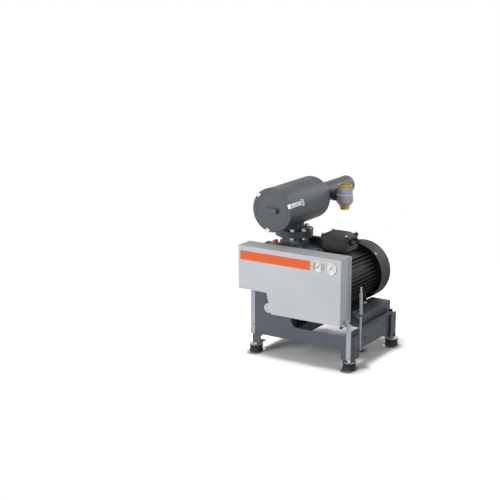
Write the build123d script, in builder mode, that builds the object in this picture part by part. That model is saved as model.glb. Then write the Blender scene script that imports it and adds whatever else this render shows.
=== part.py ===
from build123d import *
import os
from math import acos, atan2, cos, degrees, pi, radians, sin, tan

# Belt-driven rotary-lobe (Roots) vacuum blower package on a folded-sheet base frame.
# Millimetres. X runs along the front, Y to the rear, Z up; the origin is on the floor,
# at the centre of the four machine feet.

os.makedirs("parts", exist_ok=True)

# ---- fits and stock
FIT = 0.05              # radial running fit of shafts, pins and bearings
GAP = 0.3               # clearance between pieces that do not touch
SHEET = 4.0             # frame sheet
GUARD_SHEET = 2.0       # belt guard sheet

# ---- base frame
FOOT_X = 305.0          # half the foot spacing across
FOOT_Y = 259.0          # half the foot spacing front to rear
FRAME_X = 332.0         # half width over the end panels
FRAME_Y = 283.0         # half depth over the end panels
BEND_R = 36.0           # outer radius of the panels' folded corners
RETURN = 90.0           # depth of the panels' side returns
LEG_Z = 60.0            # underside of the legs
LEG_W = 70.0            # width of a leg
ARCH_Z = 117.0          # underside of the front arch
ARCH_R = 24.0           # corners of the arches
SILL_Z = 194.0          # top edge of the low right-hand half of the front panel
NOTCH_R = 44.0          # corner where the tower meets the low half
TOWER_X = -60.0         # right edge of the front panel's tower
REAR_TOWER_X = -118.0   # right edge of the rear panel's tower
CROSS_LOW = 130.0       # rear cross member
CROSS_HIGH = 181.0
REAR_LEG_TOP = 215.0    # rounded top of the right rear leg
REAR_LEG_R = 30.0
BEAM_X = 318.0          # outer face of the side beams' webs
BEAM_LOW = 98.0
BEAM_HIGH = 203.0
BEAM_FLANGE = 36.0
PAD_T = 6.0             # foot pads inside the legs
PAD_HALF = 40.0

# ---- machine feet
STUD_R = 6.0
RUBBER_R = 38.5
RUBBER_Z = (6.0, 46.0)
PLATE_W = 80.0
PLATE_L = 136.0
ANCHOR_Y = 51.0         # anchor holes, from the foot's centre
ANCHOR_R = 5.5
NUT_R = 11.0            # across corners / 2 of the stud nuts

# ---- blower
BLOWER_X = -225.0       # middle of the two rotor axes
BLOWER_Y = 25.0         # middle of the rotors and both ports
BLOWER_Z = 511.0
SHAFT_RISE = 117.0      # shafts above the end plates' feet
PITCH_R = 50.0          # rotor and timing-gear pitch radius: axes stand two of these apart
LOBES = 3
ROTOR_L = 230.0
ROTOR_GAP = 0.3         # taken off the rotor flanks all round
CASE_WALL = 13.0
END_PLATE_T = 25.0
END_HALF_X = 121.0
END_TOP = 621.0
FOOT_FLANGE = 34.0
FOOT_FLANGE_T = 16.0
DRIVE_COVER_T = 42.0
GEAR_COVER_T = 72.0
SHAFT_R = 17.5
BEARING_R = 36.0
BEARING_T = 20.0
SEAL_R = 28.0
GEAR_TEETH = 40
GEAR_FACE = 26.0

# ---- ports, intake neck and filter drum
PORT_R = 50.0
PORT_TOP = 668.0
PORT_FLANGE_R = 110.0
PORT_FLANGE_T = 18.0
PORT_PCD_R = 90.0
PORT_BOLTS = 8
PORT_HOLE_R = 9.0
BOLT_R = 8.0
DISCHARGE_Z = 354.0
DISCHARGE_FLANGE_R = 90.0
PIPE_R = 57.15          # DN100 pipe
PIPE_WALL = 4.0
SPIGOT_R = 56.5         # turned end that a hose or clamp goes over
SUCTION_SPIGOT = 100.0
FILTER_Z = 838.0
FILTER_R = 125.0
FILTER_WALL = 3.0
FILTER_REAR = 240.0
FILTER_SPLIT = -196.0   # where the cover's rim ends on the shell
COVER_FACE = -226.0
COVER_T = 5.0
HANDLE_L = 76.0
HANDLE_H = 30.0
HANDLE_OUT = 20.0
LATCH_ANGLES = {"right": 17.0, "left": 137.0, "bottom": 257.0}
LATCH_W = 25.0
LATCH_T = 3.0
LATCH_PIVOT_Y = -98.0
LATCH_PIN_R = 3.0
PIPE_END = 653.0

# ---- relief valve
VALVE_X = -75.0
VALVE_Y = 356.0
STUB_R = 30.15          # DN50 stub
VALVE_TOP = 904.0
VALVE_BOTTOM = 756.0
VALVE_R = 49.5
VALVE_COLLAR_R = 45.5
VALVE_BORE = 39.0
SEAT_Z = 795.0
SEAT_R = 20.0
POPPET_R = 26.0
POPPET_LIFT = 12.0
STEM_R = 5.0

# ---- belt drive and guard
GUARD_FRONT = -329.0
GUARD_REAR = -208.0
GUARD_X = (-385.0, 280.0)
GUARD_TOP = 638.0
GUARD_STEP_Z = 384.0    # underside of the guard's left half
GUARD_LOW = 262.0
GUARD_STEP_X = (-197.0, -165.0)
EAR_R = 28.0
EAR_AT = (-182.0, 297.0)
VENT_R = 3.6
VENT_PITCH = 15.3
VENT_COUNT = 22
VENT_Y = -225.0
VENT_Z = 292.0
PULLEY_Y = -268.5       # middle of both pulleys
BELTS = 3
BELT_PITCH = 19.0
BELT_TOP = 16.0
BELT_H = 11.0
GROOVE_ANGLE = 18.0     # half angle of the belt grooves
BLOWER_PULLEY_R = 75.0
MOTOR_PULLEY_R = 138.0
GAUGE_AT = ((138.0, 586.0), (219.0, 585.0))
GAUGE_R = 34.0
GAUGE_BODY_R = 31.0
POINTER_L = 21.0

# ---- motor, IEC frame size 160
MOTOR_X = 70.0
MOTOR_H = 160.0         # axis above the feet
FOOT_A = 254.0          # foot holes across
FOOT_B = 210.0          # foot holes lengthways
FOOT_C = 108.0          # shaft shoulder to the first foot hole
SHOULDER_Y = -202.0
MOTOR_SHAFT_R = 21.0
SHAFT_OUT = 110.0
BODY_R = 127.0
FIN_R = 148.0
FIN_W = 3.2
FIN_COUNT = 40
SHIELD_T = 34.0
BODY_REAR = 240.0
COWL_R = 172.0
COWL_WALL = 2.5
COWL_FRONT = 236.0
COWL_REAR = 366.0
BOX_X = (-18.0, 158.0)
BOX_Y = (-40.0, 108.0)
BOX_Z = (560.0, 677.0)
LID_T = 22.0
STATOR_R = 119.0
ROTOR_CORE_R = 78.0
CORE_Y = (-110.0, 160.0)

# ---- rocker plate under the motor
PIVOT_X = -62.0
PIVOT_Z = 222.0
PIVOT_R = 10.0
ROCKER_X = (-88.0, 266.0)
ROCKER_Y = (-70.0, 308.0)
ROCKER_TOP = 260.0
ROCKER_T = 8.0
SKIRT_LOW = 188.0
SKIRT_T = 6.0
ROD_X = 328.0
ROD_Y = -180.0
ROD_R = 6.0
ROD_TOP = 462.0
ROD_TAIL = 56.0
LUG_Z = (298.0, 306.0)
SPRING_R = 10.0
SPRING_TOP = 413.0
BRACKET_T = 8.0

# ---- discharge silencer
DRUM_X = -192.0
DRUM_Z = 190.0
DRUM_R = 86.0
DRUM_Y = (-130.0, 235.0)
OUTLET_END = 322.0
OUTLET_SPIGOT = 34.0

# ---- places worked out from the sizes above
BENCH_Z = TOWER_Z = BLOWER_Z - SHAFT_RISE
BENCH_T = 8.0
MOTOR_Z = ROCKER_TOP + MOTOR_H
DRIVE_X = BLOWER_X - PITCH_R
DRIVEN_X = BLOWER_X + PITCH_R
LOBE_TIP_R = PITCH_R * (1 + 1 / LOBES)
CASE_BORE = LOBE_TIP_R
CASE_R = CASE_BORE + CASE_WALL
ROTOR_Y = (BLOWER_Y - ROTOR_L / 2, BLOWER_Y + ROTOR_L / 2)
DRIVE_COVER_FRONT = ROTOR_Y[0] - END_PLATE_T - DRIVE_COVER_T
GEAR_COVER_REAR = ROTOR_Y[1] + END_PLATE_T + GEAR_COVER_T
FLANGE_TOP = PORT_TOP + PORT_FLANGE_T
PULLEY_W = BELTS * BELT_PITCH + 6.0
INNER_X = FRAME_X - SHEET
INNER_Y = FRAME_Y - SHEET


def facing_front(y, x=0.0, z=0.0):
    """Sketch plane at depth y whose local axes are X and Z; it extrudes to the front."""
    return Plane(origin=(x, y, z), x_dir=(1, 0, 0), z_dir=(0, -1, 0))


def facing_right(x):
    """Sketch plane at x whose local axes are Y and Z; it extrudes to the right."""
    return Plane(origin=(x, 0, 0), x_dir=(0, 1, 0), z_dir=(1, 0, 0))


def block(x, y, z, mode=Mode.ADD):
    """Rectangular block between the low and high values of x, y and z."""
    middle = tuple((low + high) / 2 for low, high in (x, y, z))
    with Locations(middle):
        Box(x[1] - x[0], y[1] - y[0], z[1] - z[0], mode=mode)


def rod_y(x, z, y, radius, mode=Mode.ADD):
    """Round bar along Y between the two depths in y."""
    with BuildSketch(facing_front(y[1])) as section:
        with Locations((x, z)):
            Circle(radius)
    extrude(section.sketch, amount=y[1] - y[0], mode=mode)


def rod_z(x, y, z, radius, mode=Mode.ADD):
    """Round bar along Z between the two heights in z."""
    with BuildSketch(Plane.XY.offset(z[0])) as section:
        with Locations((x, y)):
            Circle(radius)
    extrude(section.sketch, amount=z[1] - z[0], mode=mode)


def rod_x(y, z, x, radius, mode=Mode.ADD):
    """Round bar along X between the two places in x."""
    with BuildSketch(facing_right(x[0])) as section:
        with Locations((y, z)):
            Circle(radius)
    extrude(section.sketch, amount=x[1] - x[0], mode=mode)


def turned_y(x, z, outline, mode=Mode.ADD):
    """Solid of revolution about the line along Y at x, z, from (depth, radius) points."""
    with BuildSketch(Plane(origin=(x, 0, z), x_dir=(0, 1, 0), z_dir=(1, 0, 0))) as section:
        with BuildLine():
            Polyline(*outline, close=True)
        make_face()
    revolve(section.sketch, axis=Axis((x, 0, z), (0, 1, 0)), mode=mode)


def turned_z(x, y, outline, mode=Mode.ADD):
    """Solid of revolution about the vertical line at x, y, from (radius, height) points."""
    with BuildSketch(Plane(origin=(x, y, 0), x_dir=(1, 0, 0), z_dir=(0, -1, 0))) as section:
        with BuildLine():
            Polyline(*outline, close=True)
        make_face()
    revolve(section.sketch, axis=Axis((x, y, 0), (0, 0, 1)), mode=mode)


def hex_z(x, y, z, radius):
    """Hexagon along Z, radius over its corners."""
    with BuildSketch(Plane.XY.offset(z[0])) as section:
        with Locations((x, y)):
            RegularPolygon(radius, 6)
    extrude(section.sketch, amount=z[1] - z[0])


def rounded_panel(x, z, y, radius, mode=Mode.ADD):
    """Plate in the XZ plane with rounded corners, between the depths in y."""
    with BuildSketch(facing_front(y[1])) as section:
        with Locations(((x[0] + x[1]) / 2, (z[0] + z[1]) / 2)):
            RectangleRounded(x[1] - x[0], z[1] - z[0], radius)
    extrude(section.sketch, amount=y[1] - y[0], mode=mode)


def trim_to_panels(z):
    """Cut what is being built to the space between the end panels, folded corners included."""
    with BuildSketch(Plane.XY.offset(z[0])) as inside:
        RectangleRounded(2 * INNER_X, 2 * INNER_Y, BEND_R - SHEET)
    extrude(inside.sketch, amount=z[1] - z[0], mode=Mode.INTERSECT)


def save(piece, name):
    """Label a finished piece and write it as the node of that name."""
    piece.part.label = name
    export_step(piece.part, f"parts/{name}.step")


# ================================================================ base frame
def folded_panel(side):
    """Folded sheet with its two side returns and foot pads; side is -1 front, 1 rear."""
    with BuildSketch(Plane.XY.offset(LEG_Z)) as walls:
        RectangleRounded(2 * FRAME_X, 2 * FRAME_Y, BEND_R)
        RectangleRounded(2 * INNER_X, 2 * INNER_Y, BEND_R - SHEET, mode=Mode.SUBTRACT)
        with Locations((0, -side * RETURN)):
            Rectangle(2 * FRAME_X + 1, 2 * FRAME_Y, mode=Mode.SUBTRACT)
    extrude(walls.sketch, amount=TOWER_Z - LEG_Z)
    for foot_x in (-FOOT_X, FOOT_X):
        with BuildSketch(Plane.XY.offset(LEG_Z)) as pad:
            with Locations((foot_x, side * FOOT_Y)):
                Rectangle(2 * PAD_HALF, 2 * PAD_HALF)
            RectangleRounded(2 * INNER_X, 2 * INNER_Y, BEND_R - SHEET, mode=Mode.INTERSECT)
        extrude(pad.sketch, amount=PAD_T)
        rod_z(foot_x, side * FOOT_Y, (LEG_Z - 1, LEG_Z + PAD_T + 1), STUD_R + GAP, Mode.SUBTRACT)


def panel_cut(x, z, side, radius):
    """Cut a rounded window through one end panel but not its returns behind it."""
    near = side * (FRAME_Y - BEND_R - 1)
    far = side * (FRAME_Y + 1)
    rounded_panel(x, z, (min(near, far), max(near, far)), radius, Mode.SUBTRACT)


ARCH_X = (-FRAME_X + LEG_W, FRAME_X - LEG_W)

GUARD_CLEAR = 5.0       # the front panel stops this far short of the guard
with BuildPart() as frame_front_panel:
    folded_panel(-1)
    panel_cut(ARCH_X, (LEG_Z - 2 * ARCH_R, ARCH_Z), -1, ARCH_R)
    with BuildSketch(facing_front(RETURN - FRAME_Y + 1)) as above:
        with BuildLine():
            Polyline(
                (TOWER_X, SILL_Z + NOTCH_R), (TOWER_X, GUARD_LOW - GUARD_CLEAR),
                (GUARD_STEP_X[1] - GUARD_CLEAR, GUARD_LOW - GUARD_CLEAR),
                (GUARD_STEP_X[0] - GUARD_CLEAR, GUARD_STEP_Z - GUARD_CLEAR),
                (-FRAME_X - 1, GUARD_STEP_Z - GUARD_CLEAR), (-FRAME_X - 1, TOWER_Z + 1),
                (FRAME_X + 1, TOWER_Z + 1), (FRAME_X + 1, SILL_Z + NOTCH_R), close=True,
            )
        make_face()
    extrude(above.sketch, amount=RETURN + 2, mode=Mode.SUBTRACT)
    with BuildSketch(facing_front(RETURN - FRAME_Y + 1)) as notch:
        with Locations(((TOWER_X + FRAME_X + NOTCH_R) / 2, SILL_Z + NOTCH_R)):
            RectangleRounded(FRAME_X + NOTCH_R - TOWER_X, 2 * NOTCH_R, NOTCH_R - 0.5)
    extrude(notch.sketch, amount=RETURN + 2, mode=Mode.SUBTRACT)
save(frame_front_panel, "frame_front_panel")

with BuildPart() as frame_rear_panel:
    folded_panel(1)
    panel_cut(ARCH_X, (LEG_Z - 2 * ARCH_R, CROSS_LOW), 1, ARCH_R)
    block(
        (REAR_TOWER_X, ROCKER_X[1] + 6), (FRAME_Y - BEND_R, FRAME_Y + 1),
        (CROSS_HIGH, TOWER_Z + 1), Mode.SUBTRACT,
    )
    block(
        (ROCKER_X[1], FRAME_X + 1), (FRAME_Y - RETURN - 1, FRAME_Y + 1),
        (REAR_LEG_TOP, TOWER_Z + 1), Mode.SUBTRACT,
    )
    rod_y(DRUM_X, DRUM_Z, (FRAME_Y - BEND_R, FRAME_Y + 1), PIPE_R + GAP, Mode.SUBTRACT)
    with BuildSketch(facing_right(FRAME_X - BEND_R)) as leg_round:
        with Locations((FRAME_Y - RETURN / 2, REAR_LEG_TOP)):
            Rectangle(RETURN + 2, 2 * REAR_LEG_R)
        with Locations((FRAME_Y - RETURN / 2, REAR_LEG_TOP - RETURN / 2)):
            RectangleRounded(RETURN, RETURN, REAR_LEG_R, mode=Mode.SUBTRACT)
    extrude(amount=BEND_R + 1, mode=Mode.SUBTRACT)
    rod_x(FRAME_Y - RETURN / 2, CROSS_HIGH, (BEAM_X, FRAME_X + 1), 7, Mode.SUBTRACT)
    for leg_x in ((-FRAME_X - 1, -INNER_X + 1), (INNER_X - 1, FRAME_X + 1)):
        block(leg_x, (FRAME_Y - RETURN / 2 - 14, FRAME_Y - RETURN / 2 + 14), (LEG_Z - 1, LEG_Z + 24),
              Mode.SUBTRACT)
save(frame_rear_panel, "frame_rear_panel")

with BuildPart() as frame_side_beams:
    for side in (-1, 1):
        outer, inner, lip = (side * (BEAM_X - step) for step in (0, SHEET, BEAM_FLANGE))
        with BuildSketch(facing_front(INNER_Y)):
            with BuildLine():
                Polyline(
                    (outer, BEAM_LOW), (lip, BEAM_LOW), (lip, BEAM_LOW + SHEET),
                    (inner, BEAM_LOW + SHEET), (inner, BEAM_HIGH - SHEET),
                    (lip, BEAM_HIGH - SHEET), (lip, BEAM_HIGH), (outer, BEAM_HIGH), close=True,
                )
            make_face()
        extrude(amount=2 * INNER_Y)
        for hole_y in (-90, -46):
            rod_x(hole_y, BEAM_LOW + 14, (min(outer, inner) - 1, max(outer, inner) + 1), 4.5, Mode.SUBTRACT)
    trim_to_panels((BEAM_LOW, BEAM_HIGH))
    block((BEAM_X - BEAM_FLANGE, ROD_X + 30), (ROD_Y - 10, ROD_Y + 34), (BEAM_LOW - BRACKET_T, BEAM_LOW))
    block((ROD_X + 26, ROD_X + 30), (ROD_Y - 10, ROD_Y + 34), (BEAM_LOW - 1, BEAM_LOW + 9))
    rod_z(ROD_X, ROD_Y, (BEAM_LOW - BRACKET_T - 1, BEAM_LOW + 1), ROD_R + GAP, Mode.SUBTRACT)
save(frame_side_beams, "frame_side_beams")

BENCH_X = (-INNER_X, REAR_TOWER_X)
BENCH_FRONT = GUARD_REAR + 10
BENCH_SKIRT = 48.0
with BuildPart() as blower_bench:
    block(BENCH_X, (BENCH_FRONT, INNER_Y), (BENCH_Z - BENCH_T, BENCH_Z))
    block(BENCH_X, (BENCH_FRONT, BENCH_FRONT + SHEET), (BEAM_HIGH, BENCH_Z))
    block((BENCH_X[0], BENCH_X[0] + SHEET), (RETURN - FRAME_Y, FRAME_Y - RETURN), (BENCH_Z - BENCH_SKIRT, BENCH_Z))
    block((BENCH_X[1] - SHEET, BENCH_X[1]), (BENCH_FRONT, INNER_Y), (BENCH_Z - BENCH_SKIRT, BENCH_Z))
    with BuildSketch(Plane.XY.offset(BENCH_Z - BENCH_T - 1)):
        with Locations((BLOWER_X, BLOWER_Y)):
            RectangleRounded(2 * DISCHARGE_FLANGE_R + 6, 2 * DISCHARGE_FLANGE_R + 6, 20)
    extrude(amount=BENCH_T + 2, mode=Mode.SUBTRACT)
    trim_to_panels((BEAM_HIGH, BENCH_Z))
save(blower_bench, "blower_bench")

LUG_T = 8.0
LUG_R = 17.0
LUG_YS = (-56.0, 118.0, 246.0)
PIVOT_BEAM_Z = (120.0, 180.0)
with BuildPart() as pivot_beam:
    block((PIVOT_X - 20, PIVOT_X + 20), (-INNER_Y, INNER_Y), PIVOT_BEAM_Z)
    block((PIVOT_X - 16, PIVOT_X + 16), (-INNER_Y - 1, INNER_Y + 1),
          (PIVOT_BEAM_Z[0] + SHEET, PIVOT_BEAM_Z[1] - SHEET), Mode.SUBTRACT)
    for lug_y in LUG_YS:
        block((PIVOT_X - LUG_R, PIVOT_X + LUG_R), (lug_y, lug_y + LUG_T), (PIVOT_BEAM_Z[1] - 1, PIVOT_Z))
        rod_y(PIVOT_X, PIVOT_Z, (lug_y, lug_y + LUG_T), LUG_R)
    rod_y(PIVOT_X, PIVOT_Z, (LUG_YS[0] - 1, LUG_YS[-1] + LUG_T + 1), PIVOT_R + FIT, Mode.SUBTRACT)
save(pivot_beam, "pivot_beam")

with BuildPart() as rocker_pivot_pin:
    rod_y(PIVOT_X, PIVOT_Z, (LUG_YS[0] - 4, LUG_YS[-1] + LUG_T + 6), PIVOT_R)
    rod_y(PIVOT_X, PIVOT_Z, (LUG_YS[0] - 4, LUG_YS[0]), PIVOT_R + 4)
save(rocker_pivot_pin, "rocker_pivot_pin")

FEET = [(x, y) for x in (-FOOT_X, FOOT_X) for y in (-FOOT_Y, FOOT_Y)]

with BuildPart() as foot_plates:
    for x, y in FEET:
        with BuildSketch(Plane.XY):
            with Locations((x, y)):
                SlotOverall(PLATE_L, PLATE_W, rotation=90)
            with Locations((x, y - ANCHOR_Y), (x, y + ANCHOR_Y)):
                Circle(ANCHOR_R, mode=Mode.SUBTRACT)
        extrude(amount=RUBBER_Z[0])
save(foot_plates, "foot_plates")

with BuildPart() as foot_rubbers:
    for x, y in FEET:
        turned_z(x, y, (
            (0, RUBBER_Z[0]), (RUBBER_R, RUBBER_Z[0]), (RUBBER_R, RUBBER_Z[0] + 11),
            (RUBBER_R - 3, RUBBER_Z[0] + 16), (RUBBER_R - 3, RUBBER_Z[1] - 14),
            (RUBBER_R, RUBBER_Z[1] - 9), (RUBBER_R, RUBBER_Z[1]), (0, RUBBER_Z[1]),
        ))
save(foot_rubbers, "foot_rubbers")

CAP_T = 4.0
with BuildPart() as foot_studs:
    for x, y in FEET:
        rod_z(x, y, (RUBBER_Z[1], RUBBER_Z[1] + CAP_T), RUBBER_R - 1)
        hex_z(x, y, (RUBBER_Z[1] + CAP_T, LEG_Z), NUT_R)
        rod_z(x, y, (LEG_Z, LEG_Z + PAD_T + 22), STUD_R)
        hex_z(x, y, (LEG_Z + PAD_T, LEG_Z + PAD_T + 10), NUT_R)
save(foot_studs, "foot_studs")

with BuildPart() as tension_rod:
    rod_z(ROD_X, ROD_Y, (ROD_TAIL, ROD_TOP), ROD_R)
    hex_z(ROD_X, ROD_Y, (BEAM_LOW, BEAM_LOW + 9), NUT_R - 1)
    hex_z(ROD_X, ROD_Y, (BEAM_LOW - BRACKET_T - 9, BEAM_LOW - BRACKET_T), NUT_R - 1)
    rod_z(ROD_X, ROD_Y, (SPRING_TOP, SPRING_TOP + 3), SPRING_R + 1)
    hex_z(ROD_X, ROD_Y, (SPRING_TOP + 3, SPRING_TOP + 13), SPRING_R)
save(tension_rod, "tension_rod")

with BuildPart() as tension_spring:
    rod_z(ROD_X, ROD_Y, (LUG_Z[1] + GAP, SPRING_TOP), SPRING_R)
    rod_z(ROD_X, ROD_Y, (LUG_Z[1], SPRING_TOP + 1), ROD_R + 1, Mode.SUBTRACT)
save(tension_spring, "tension_spring")


# ================================================================ Roots blower
def turn(degrees_at):
    """Unit vector at an angle in degrees."""
    return Vector(cos(radians(degrees_at)), sin(radians(degrees_at)))


def lobe_point(arc, share):
    """Point of the rotor outline, set back by the running gap.

    Even arcs are epicycloid tips and odd arcs hypocycloid roots; the outline's normal
    passes through the point where the rolling circle touches the pitch circle.
    """
    span = 180 / LOBES
    rolling = PITCH_R / (2 * LOBES)
    start = (arc - 0.5) * span
    angle = start + share * span
    tip = 1 if arc % 2 == 0 else -1
    ratio = (PITCH_R + tip * rolling) / rolling
    at = turn(angle) * (PITCH_R + tip * rolling) - turn(start + tip * ratio * (angle - start)) * rolling * tip
    if share in (0, 1):
        inward = turn(angle + 90) * (1 - 2 * share) * tip
    else:
        inward = (turn(angle) * PITCH_R - at).normalized() * tip
    return at + inward * ROTOR_GAP


def rotor_outline(centre_x):
    """Face of one three-lobe rotor."""
    samples = 8
    with BuildSketch(facing_front(ROTOR_Y[1] - GAP, centre_x, BLOWER_Z)) as section:
        with BuildLine():
            for arc in range(2 * LOBES):
                Spline(*[lobe_point(arc, step / samples) for step in range(samples + 1)])
        make_face()
    return section.sketch


def rotor(centre_x, front_end, rear_end):
    """One rotor with its shaft between two depths."""
    extrude(rotor_outline(centre_x), amount=ROTOR_L - 2 * GAP)
    for end in (ROTOR_Y[0] + GAP, ROTOR_Y[1] - GAP):
        for lobe in range(LOBES):
            hole = turn(lobe * 360 / LOBES) * (PITCH_R * 0.86)
            rod_y(centre_x + hole.X, BLOWER_Z + hole.Y, (end - 8, end + 8), 7, Mode.SUBTRACT)
    rod_y(centre_x, BLOWER_Z, (front_end, rear_end), SHAFT_R)


GEAR_Y = (ROTOR_Y[1] + END_PLATE_T + 8, ROTOR_Y[1] + END_PLATE_T + 8 + GEAR_FACE)
DRIVE_SHAFT_END = PULLEY_Y - PULLEY_W / 2 - 4
with BuildPart() as drive_rotor:
    rotor(DRIVE_X, DRIVE_SHAFT_END, GEAR_Y[1] + 10)
save(drive_rotor, "drive_rotor")

with BuildPart() as driven_rotor:
    rotor(DRIVEN_X, DRIVE_COVER_FRONT + 12, GEAR_Y[1] + 10)
save(driven_rotor, "driven_rotor")


def gear_points(teeth, pitch_radius, phase):
    """Involute gear outline: four points up each flank, with a little backlash."""
    module = 2 * pitch_radius / teeth
    pressure = radians(20)
    base = pitch_radius * cos(pressure)
    root, tip = pitch_radius - 1.22 * module, pitch_radius + 0.94 * module
    half_at_pitch = pi / (2 * teeth) - 0.12 / pitch_radius

    def half_width(radius):
        lean = acos(min(1.0, base / radius))
        return half_at_pitch + (tan(pressure) - pressure) - (tan(lean) - lean)

    radii = [root, (root + pitch_radius) / 2 + 0.4, pitch_radius + 0.3, tip]
    points = []
    for tooth in range(teeth):
        middle = 2 * pi * (tooth + phase) / teeth
        for radius, side in [(r, -1) for r in radii] + [(r, 1) for r in reversed(radii)]:
            angle = middle + side * half_width(radius)
            points.append((radius * cos(angle), radius * sin(angle)))
    return points


def timing_gear(centre_x, phase):
    """Timing gear on a rotor shaft, with lightening holes; phase is in teeth."""
    with BuildSketch(facing_front(GEAR_Y[1], centre_x, BLOWER_Z)) as face:
        with BuildLine():
            Polyline(*gear_points(GEAR_TEETH, PITCH_R, phase), close=True)
        make_face()
        Circle(SHAFT_R + FIT, mode=Mode.SUBTRACT)
        with PolarLocations(33, 6):
            Circle(6, mode=Mode.SUBTRACT)
    extrude(face.sketch, amount=GEAR_FACE)


with BuildPart() as drive_timing_gear:
    timing_gear(DRIVE_X, 0.0)
save(drive_timing_gear, "drive_timing_gear")

with BuildPart() as driven_timing_gear:
    timing_gear(DRIVEN_X, 0.5)
save(driven_timing_gear, "driven_timing_gear")

PLATES = {
    "drive_end_plate": (ROTOR_Y[0] - END_PLATE_T, ROTOR_Y[0], -1),
    "gear_end_plate": (ROTOR_Y[1], ROTOR_Y[1] + END_PLATE_T, 1),
}
BEARING_YS = (ROTOR_Y[0] - END_PLATE_T, ROTOR_Y[1] + END_PLATE_T - BEARING_T)
ROTOR_AXES = (DRIVE_X, DRIVEN_X)


def end_plate(low, high, side):
    """End plate with its foot flange, two bearing seats and two shaft holes."""
    plate_x = (BLOWER_X - END_HALF_X, BLOWER_X + END_HALF_X)
    rounded_panel(plate_x, (BENCH_Z, END_TOP), (low, high), 22)
    foot = (low - FOOT_FLANGE, low) if side < 0 else (high, high + FOOT_FLANGE)
    block(plate_x, foot, (BENCH_Z, BENCH_Z + FOOT_FLANGE_T))
    block(plate_x, (low, high), (BENCH_Z, BENCH_Z + FOOT_FLANGE_T))
    foot_middle = (foot[0] + foot[1]) / 2
    for axis_x in ROTOR_AXES:
        rod_z(axis_x, foot_middle, (BENCH_Z - 1, BENCH_Z + FOOT_FLANGE_T + 1), 7, Mode.SUBTRACT)
        rod_y(axis_x, BLOWER_Z, (low - 1, high + 1), SHAFT_R + 2, Mode.SUBTRACT)
        seat = (low - 1, low + BEARING_T) if side < 0 else (high - BEARING_T, high + 1)
        rod_y(axis_x, BLOWER_Z, seat, BEARING_R + FIT, Mode.SUBTRACT)


with BuildPart() as drive_end_plate:
    end_plate(*PLATES["drive_end_plate"])
save(drive_end_plate, "drive_end_plate")

with BuildPart() as gear_end_plate:
    end_plate(*PLATES["gear_end_plate"])
save(gear_end_plate, "gear_end_plate")

with BuildPart() as blower_bearings:
    for axis_x in ROTOR_AXES:
        for bearing_y in BEARING_YS:
            rod_y(axis_x, BLOWER_Z, (bearing_y, bearing_y + BEARING_T), BEARING_R)
            rod_y(axis_x, BLOWER_Z, (bearing_y, bearing_y + BEARING_T), SHAFT_R + FIT, Mode.SUBTRACT)
save(blower_bearings, "blower_bearings")


def stadium(y, radius, mode=Mode.ADD):
    """Rounded shape around both rotor axes, between two depths."""
    with BuildSketch(facing_front(y[1], BLOWER_X, BLOWER_Z)) as section:
        SlotCenterToCenter(2 * PITCH_R, 2 * radius)
    extrude(section.sketch, amount=y[1] - y[0], mode=mode)


def port_level(height, across, along):
    """Outline of the port duct at one height; round where across is given as a radius."""
    with BuildSketch(Plane(origin=(BLOWER_X, BLOWER_Y, height))) as level:
        if along is None:
            Circle(across)
        else:
            RectangleRounded(across, along, 24)
    return level.sketch


PORT_LOW_FLANGE = DISCHARGE_Z + PORT_FLANGE_T
RIB_T = 7.0
with BuildPart() as blower_casing:
    stadium(ROTOR_Y, CASE_R)
    for rib_y in (BLOWER_Y - 92, BLOWER_Y + 92):
        stadium((rib_y - RIB_T / 2, rib_y + RIB_T / 2), CASE_R + 5)
    for start, end in ((BLOWER_Z + 60, PORT_TOP - 1), (BLOWER_Z - 60, DISCHARGE_Z + 1)):
        loft([port_level(start, 150, 170), port_level(end, PORT_R + 16, None)])
    rod_z(BLOWER_X, BLOWER_Y, (PORT_TOP - PORT_FLANGE_T, PORT_TOP), PORT_FLANGE_R)
    rod_z(BLOWER_X, BLOWER_Y, (DISCHARGE_Z, PORT_LOW_FLANGE), DISCHARGE_FLANGE_R)
    stadium((ROTOR_Y[0] - 1, ROTOR_Y[1] + 1), CASE_BORE, Mode.SUBTRACT)
    for start, end in ((BLOWER_Z + 52, PORT_TOP + 1), (BLOWER_Z - 52, DISCHARGE_Z - 1)):
        loft([port_level(start, 76, 140), port_level(end, PORT_R, None)], mode=Mode.SUBTRACT)
    with Locations((BLOWER_X, BLOWER_Y)):
        with PolarLocations(PORT_PCD_R, PORT_BOLTS, start_angle=180 / PORT_BOLTS):
            with Locations((0, 0, PORT_TOP)):
                Hole(PORT_HOLE_R, depth=PORT_FLANGE_T + 1)
save(blower_casing, "blower_casing")

COVER_R = 58.0
with BuildPart() as drive_end_cover:
    cover_back = ROTOR_Y[0] - END_PLATE_T
    stadium((DRIVE_COVER_FRONT + 8, cover_back), COVER_R)
    stadium((DRIVE_COVER_FRONT, DRIVE_COVER_FRONT + 8.5), COVER_R - 6)
    block((DRIVE_X - 24, DRIVE_X + 48), (DRIVE_COVER_FRONT + 10, cover_back), (BLOWER_Z, END_TOP))
    stadium((DRIVE_COVER_FRONT + 10, cover_back + 1), COVER_R - 9, Mode.SUBTRACT)
    rod_y(DRIVE_X, BLOWER_Z, (DRIVE_COVER_FRONT - 1, cover_back), SEAL_R + FIT, Mode.SUBTRACT)
save(drive_end_cover, "drive_end_cover")

with BuildPart() as shaft_seal:
    rod_y(DRIVE_X, BLOWER_Z, (DRIVE_COVER_FRONT, DRIVE_COVER_FRONT + 10), SEAL_R)
    rod_y(DRIVE_X, BLOWER_Z, (DRIVE_COVER_FRONT, DRIVE_COVER_FRONT + 10), SHAFT_R + FIT, Mode.SUBTRACT)
save(shaft_seal, "shaft_seal")

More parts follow.
